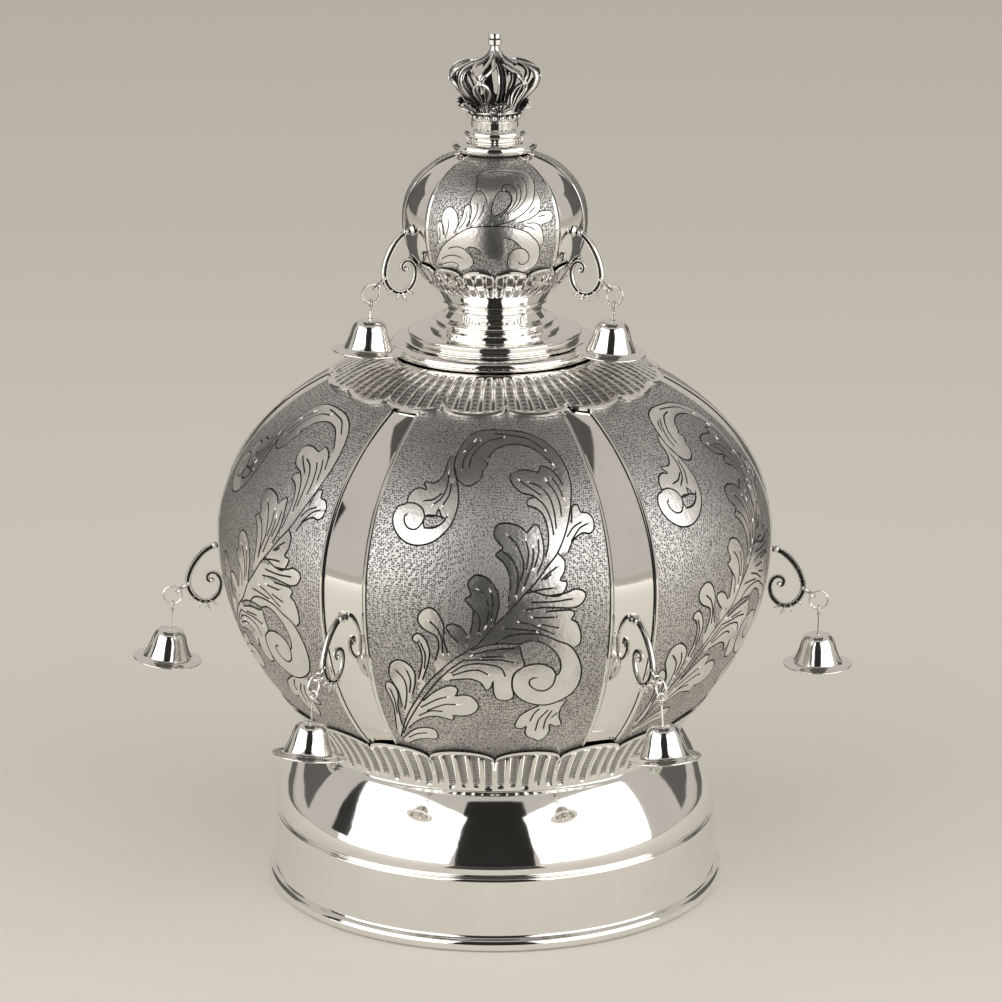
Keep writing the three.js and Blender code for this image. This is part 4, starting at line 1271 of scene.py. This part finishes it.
# The scroll in an arm's own plane: out from the globe, then up.
SCROLL = (
    (0.6, 0.6), (4.0, 0.0), (7.2, -2.0), (10.4, -5.4), (13.2, -9.8), (14.8, -14.4), (14.9, -18.2),
    (13.4, -21.6), (10.6, -24.2), (7.4, -25.0), (4.4, -24.0), (1.8, -21.4), (0.6, -17.6),
    (1.0, -14.4), (2.8, -12.2), (5.0, -12.0), (6.5, -13.4), (6.3, -15.4), (4.8, -16.0), (4.0, -15.0),
)
BAR_SECTION = (
    (-1.2, -0.45), (-1.25, 0.0), (-1.2, 0.45), (-0.95, 0.85), (-0.6, 0.85), (-0.28, 0.4),
    (0.28, 0.4), (0.6, 0.85), (0.95, 0.85), (1.2, 0.45), (1.25, 0.0), (1.2, -0.45), (0.95, -0.85),
    (0.6, -0.85), (0.28, -0.4), (-0.28, -0.4), (-0.6, -0.85), (-0.95, -0.85),
)
BAR_KINDS = [0, 0, 0, 0, 1, 1, 1, 0, 0, 0, 0, 0, 0, 1, 1, 1, 0, 0]


def in_plane(points):
    points = np.asarray(points, dtype=float)
    return np.stack([points[:, 0], 0 * points[:, 0], points[:, 1]], axis=1)


def arm_mesh():
    """A scroll of grooved bar with its foot, eye, buds and spur, in its own frame."""
    work = Work()
    path = in_plane(smooth_line(SCROLL, 0.6))
    t = np.linspace(0, 1, len(path))
    size = np.interp(t, [0, 0.1, 0.45, 0.8, 1], [0.95, 1.05, 1.05, 0.8, 0.62])
    swept(work, path, BAR_SECTION, size, across=(0, 1, 0), finish=BAR_KINDS * (len(path) - 1))
    ball(work, (4.6, 0, -15.4), 1.15, 12, 8)
    foot = in_plane([(0, 0.6), (0.3, 0.6), (0.5, 0.6), (1.3, 0.6)])
    swept(work, foot, round_section(1.0, 16), np.array([2.5, 2.5, 2.2, 1.4]), across=(0, 1, 0))
    ball(work, (3.0, 0, 0.5), 1.5, 12, 8)
    leaf = round_section(1.0, 10)
    buds = (
        (((7.6, -25.0), (7.2, -26.6), (5.9, -28.6)), 0.95),
        (((9.4, -24.8), (10.2, -26.2), (10.6, -27.6)), 0.8),
        (((5.4, -24.4), (4.0, -25.8), (2.6, -26.4)), 0.75),
        (((12.0, -23.0), (13.6, -23.6), (14.6, -24.6)), 0.7),
    )
    for points, thick in buds:
        line = in_plane(smooth_line(points, 0.4))
        swell = np.sin(np.linspace(0.35, 0.93, len(line)) * math.pi)
        swept(work, line, leaf, thick * swell, across=(0, 1, 0))
        ball(work, line[-1], 0.55 * thick + 0.1, 8, 6)
    lug = in_plane(smooth_line([(14.4, -17.0), (15.8, -17.8), (17.4, -19.0)], 0.4))
    swept(work, lug, round_section(0.85, 10), across=(0, 1, 0))
    ball(work, (15.6, 0, -16.4), 0.9, 10, 6)
    across = (EYE["w"] - JUMP_RING["w"], 0, JUMP_RING["u"] - EYE["u"])
    wire_loop(work, np.array((EYE["u"], 0, EYE["w"])), across, EYE["radius"], EYE["wire"], 24, 8)
    return work


def ring_mesh():
    work = Work()
    wire_loop(work, np.zeros(3), (0, 1, 0), JUMP_RING["radius"], JUMP_RING["wire"], 40, 10)
    return work


def hanger_mesh(drop, clapper):
    """A wire with a loop, a few turns of wrapping and the clapper at its end."""
    work = Work()
    reach = -drop - BELL_HEIGHT + HANGER["clapper_rise"]
    wire_loop(work, np.zeros(3), (1, 0, 0), HANGER["loop"], HANGER["wire"], 24, 8)
    rod = np.array([(0.0, 0.0, z) for z in np.linspace(-HANGER["loop"], reach, 12)])
    swept(work, rod, round_section(HANGER["wire"], 8))
    angles = np.linspace(0, 2 * math.pi * HANGER["turns"], 60)
    sink = -1.6 - 0.055 * angles / math.pi * 4
    wrap = np.stack([HANGER["wrap"] * np.cos(angles), HANGER["wrap"] * np.sin(angles), sink], axis=1)
    swept(work, wrap, round_section(HANGER["wrap_wire"], 6))
    ball(work, (0, 0, reach), clapper, 16, 10)
    return work


def bell_mesh(wall):
    """The bell with its mouth at z = 0: domed crown, flared side and wide dished brim."""
    outer = smooth_line([
        (1.0, 15.0), (2.8, 14.85), (4.7, 14.3), (6.1, 13.2), (7.0, 11.6), (7.6, 9.8), (8.3, 7.4),
        (9.2, 5.0), (9.9, 3.4), (10.4, 2.5), (11.2, 2.0), (12.6, 1.7), (14.5, 1.5),
    ], 0.45)
    edge = moulding(14.45, 1.05, 0.5, 0.9, 8)
    inner = smooth_line([
        (14.2, 0.6), (12.6, 0.85), (11.2, 1.1), (10.0, 1.6), (9.2, 2.8), (8.3, 4.8), (7.5, 7.2),
        (6.8, 9.6), (6.1, 11.4), (5.2, 12.6), (4.0, 13.5), (2.6, 14.1), (1.0, 15.0 - wall),
    ], 0.8)
    work = Work()
    turned(work, [*outer, *edge[::-1], *inner], 56)
    return work


def placed(work, points):
    """The same work with its points put somewhere else."""
    moved = Work()
    moved.points = [tuple(point) for point in points]
    moved.faces = work.faces
    moved.finishes = work.finishes
    return moved


def tilt_in_plane(points, degrees):
    """Turns points in the arm's plane; the direction out from the globe goes up."""
    turn = math.radians(degrees)
    u = points[:, 0] * math.cos(turn) - points[:, 2] * math.sin(turn)
    w = points[:, 0] * math.sin(turn) + points[:, 2] * math.cos(turn)
    return np.stack([u, points[:, 1], w], axis=1)


def bracket(points, radius, heading, height):
    """Carries points from the arm's own frame to its place on the globe."""
    angle = math.radians(heading)
    out = np.array((math.sin(angle), -math.cos(angle), 0.0))
    across = np.array((math.cos(angle), math.sin(angle), 0.0))
    made = np.outer(points[:, 0] + radius, out) + np.outer(points[:, 1], across)
    made[:, 2] = points[:, 2] + height
    return made


def build_arm_set(prefix, globe, arms):
    """The arms of one globe, each with its jump ring, hanger and bell."""
    casting = bpy.context.scene.crown_casting
    arm, loop = arm_mesh(), ring_mesh()
    hanger = hanger_mesh(arms["drop"], casting.clapper / MM)
    cup = bell_mesh(casting.bell_wall / MM)
    radius = float(globe_radius(globe, arms["height"])) - arms["inset"] + GAP
    here = np.zeros(3)
    ring_place = np.array((JUMP_RING["u"], 0.0, JUMP_RING["w"]))
    bell_place = np.array((0.0, 0.0, -arms["drop"] - BELL_HEIGHT))
    hook = tilt_in_plane(ring_place[None], arms["tilt"]) - (0, 0, JUMP_RING["radius"])
    for i, swing in enumerate(arms["swings"]):
        heading = arms["start"] + 360.0 / arms["count"] * i
        # Each part's place in its own frame, its turn in the arm's plane and where it hangs.
        for kind, work, shift, turn, hung in (
            ("arm", arm, here, arms["tilt"], here),
            ("ring", loop, ring_place, arms["tilt"], here),
            ("hanger", hanger, here, swing, hook),
            ("bell", cup, bell_place, swing, hook),
        ):
            points = tilt_in_plane(np.asarray(work.points) + shift, turn) + hung
            points = bracket(points, radius, heading, arms["height"])
            node = f"{prefix}_{kind}_{i + 1}"
            slot, finishes = "cast_silver", cast_finishes()
            if kind == "bell":
                slot, finishes = "bell_silver", bell_finishes()
            placed(work, points).build(f"{node}_silver", node, slot, finishes)


# ---- Stage --------------------------------------------------------------------------------


def soft_box(name, heading, power):
    """An area light at a heading from the front, aimed at the crown."""
    light = bpy.data.lights.new(name, "AREA")
    light.shape = "RECTANGLE"
    light.size, light.size_y = SOFT_BOX["size"]
    light.energy = power
    light.color = SOFT_BOX["tint"]
    lamp = bpy.data.objects.new(name, light)
    lamp.location = Vector(spot(SOFT_BOX["distance"], heading, SOFT_BOX["height"]).tolist())
    aim = Vector((0, 0, SOFT_BOX["aim"])) - lamp.location
    lamp.rotation_euler = aim.to_track_quat("-Z", "Y").to_euler()
    bpy.context.collection.objects.link(lamp)
    return lamp


def card_paint(name, tone):
    return Finish(name).close((tone, tone, tone, 1.0), 0.9, metallic=0.0)


def stage_sheet(name, corners, material):
    mesh = bpy.data.meshes.new(name)
    mesh.from_pydata(corners, [], [tuple(range(len(corners)))])
    mesh.materials.append(material)
    sheet = bpy.data.objects.new(name, mesh)
    bpy.context.collection.objects.link(sheet)
    return sheet


def build_camera():
    camera = bpy.data.cameras.new("camera")
    camera.lens = CAMERA["lens"]
    camera.sensor_width = CAMERA["sensor"]
    camera.clip_end = CAMERA["reach"]
    view = bpy.data.objects.new("camera", camera)
    view.location = CAMERA["place"]
    view.rotation_euler = (math.radians(CAMERA["tilt"]), 0.0, 0.0)
    bpy.context.collection.objects.link(view)
    bpy.context.scene.camera = view


def build_stage():
    stage = bpy.context.scene.crown_stage
    build_camera()
    angles = np.radians(even_headings(64))
    rim = [(FLOOR_RADIUS * math.cos(a), FLOOR_RADIUS * math.sin(a), 0.0) for a in angles]
    stage_sheet("floor", rim, finish_named("floor paint", floor_paint, stage))

    black = card_paint("black card", 0.02)
    grey = card_paint("grey card", 0.14)
    for name, material, corners in (
        ("black_card", black, [(-0.72, -2.0, 0.0), (0.72, -2.0, 0.0), (0.72, -2.0, 2.6),
                               (-0.72, -2.0, 2.6)]),
        ("left_card", black, [(-1.7, -0.32, 0.2), (-1.7, 0.04, 0.2), (-1.7, 0.1, 1.3),
                              (-1.7, -0.32, 1.3)]),
        ("rear_card_left", grey, [(-1.9, 0.8, 0.2), (-1.0, 1.7, 0.2), (-1.0, 1.7, 1.2),
                                  (-1.9, 0.8, 1.2)]),
        ("rear_card_right", grey, [(1.0, 1.7, 0.2), (1.9, 0.8, 0.2), (1.9, 0.8, 1.2),
                                   (1.0, 1.7, 1.2)]),
        ("ceiling", grey, [(-1.3, -1.3, 3.0), (1.3, -1.3, 3.0), (1.3, 1.3, 3.0), (-1.3, 1.3, 3.0)]),
        ("front_runner", black, [(-0.72, -2.0, 0.002), (0.72, -2.0, 0.002), (0.1, -0.25, 0.002),
                                 (-0.1, -0.25, 0.002)]),
        ("back_runner", grey, [(-1.0, 0.35, 0.002), (1.0, 0.35, 0.002), (1.4, 3.0, 0.002),
                               (-1.4, 3.0, 0.002)]),
    ):
        sheet = stage_sheet(name, corners, material)
        sheet.visible_camera = False
        sheet.visible_diffuse = False
        sheet.visible_shadow = False

    apart = bpy.data.collections.new("outside the soft boxes")
    apart.objects.link(bpy.data.objects["large_globe_ribs"])
    apart.collection_objects[0].light_linking.link_state = "EXCLUDE"
    for side in (-1, 1):
        name = "box_left" if side < 0 else "box_right"
        box = soft_box(name, side * SOFT_BOX["heading"], stage.soft_box_power)
        box.light_linking.receiver_collection = apart

    world = bpy.data.worlds.new("room")
    world.use_nodes = True
    world.node_tree.nodes["Background"].inputs["Color"].default_value = (*stage.room, 1.0)
    world.node_tree.nodes["Background"].inputs["Strength"].default_value = stage.room_strength
    bpy.context.scene.world = world
    bpy.context.scene.view_settings.view_transform = "Standard"


# ---- Operators and panel ------------------------------------------------------------------


class CROWN_OT_stage(bpy.types.Operator):
    """Make the floor, the soft boxes and the camera"""

    bl_idname = "crown.stage"
    bl_label = "Stage"

    def execute(self, context):
        build_stage()
        return {"FINISHED"}


class CROWN_OT_base_ring(bpy.types.Operator):
    """Make the rolled base with its fluted leaf collar"""

    bl_idname = "crown.base_ring"
    bl_label = "Base ring"

    def execute(self, context):
        build_base_ring()
        return {"FINISHED"}


class CROWN_OT_large_globe(bpy.types.Operator):
    """Make the large globe with six chased panels and six plain ribs"""

    bl_idname = "crown.large_globe"
    bl_label = "Large globe"

    def execute(self, context):
        chasing = context.scene.crown_chasing
        chased_globe("large_globe", LARGE, LARGE_LEAVES, LARGE_HOLES, LARGE_VEINS,
                     chasing.line_width / MM, 1.1, 2.0, chasing.bead / MM)
        return {"FINISHED"}


class CROWN_OT_small_globe(bpy.types.Operator):
    """Make the small globe with three chased panels and three plain ribs"""

    bl_idname = "crown.small_globe"
    bl_label = "Small globe"

    def execute(self, context):
        chasing = context.scene.crown_chasing
        chased_globe("small_globe", SMALL, SMALL_LEAVES, SMALL_HOLES, SMALL_VEINS,
                     chasing.fine_line_width / MM, 0.7, 1.1, 0.6 * chasing.bead / MM)
        return {"FINISHED"}


class CROWN_OT_skirt(bpy.types.Operator):
    """Make the fluted skirt under the neck"""

    bl_idname = "crown.skirt"
    bl_label = "Skirt"

    def execute(self, context):
        build_skirt()
        return {"FINISHED"}


class CROWN_OT_neck(bpy.types.Operator):
    """Make the turned neck and its fluted cup"""

    bl_idname = "crown.neck"
    bl_label = "Neck"

    def execute(self, context):
        build_neck()
        return {"FINISHED"}


class CROWN_OT_stem(bpy.types.Operator):
    """Make the stacked rings that carry the small crown"""

    bl_idname = "crown.stem"
    bl_label = "Finial stem"

    def execute(self, context):
        build_stem()
        return {"FINISHED"}


class CROWN_OT_coronet(bpy.types.Operator):
    """Make the cast openwork crown"""

    bl_idname = "crown.coronet"
    bl_label = "Small crown"

    def execute(self, context):
        build_coronet()
        return {"FINISHED"}


class CROWN_OT_arms(bpy.types.Operator):
    """Make the scroll arms with their rings, hangers and bells"""

    bl_idname = "crown.arms"
    bl_label = "Arms and bells"

    def execute(self, context):
        build_arm_set("lower", LARGE, LOWER_ARMS)
        build_arm_set("upper", SMALL, UPPER_ARMS)
        return {"FINISHED"}


class CROWN_PT_panel(bpy.types.Panel):
    bl_label = "Torah crown"
    bl_space_type = "VIEW_3D"
    bl_region_type = "UI"
    bl_category = "Crown"

    def draw(self, context):
        for operator in OPERATORS:
            self.layout.operator(operator.bl_idname)


OPERATORS = (
    CROWN_OT_base_ring, CROWN_OT_large_globe, CROWN_OT_skirt, CROWN_OT_neck,
    CROWN_OT_small_globe, CROWN_OT_stem, CROWN_OT_coronet, CROWN_OT_arms, CROWN_OT_stage,
)
SETTINGS = {
    "crown_chasing": ChasingSettings, "crown_edges": LeafEdgeSettings,
    "crown_casting": CastingSettings, "crown_silver": SilverSettings, "crown_stage": StageSettings,
}


def register():
    for settings in SETTINGS.values():
        bpy.utils.register_class(settings)
    for name, settings in SETTINGS.items():
        setattr(bpy.types.Scene, name, PointerProperty(type=settings))
    for operator in OPERATORS:
        bpy.utils.register_class(operator)
    bpy.utils.register_class(CROWN_PT_panel)


def unregister():
    bpy.utils.unregister_class(CROWN_PT_panel)
    for operator in reversed(OPERATORS):
        bpy.utils.unregister_class(operator)
    for name, settings in SETTINGS.items():
        delattr(bpy.types.Scene, name)
        bpy.utils.unregister_class(settings)


def main():
    register()
    for operator in OPERATORS:
        group, name = operator.bl_idname.split(".")
        getattr(getattr(bpy.ops, group), name)()


if __name__ == "__main__":
    main()
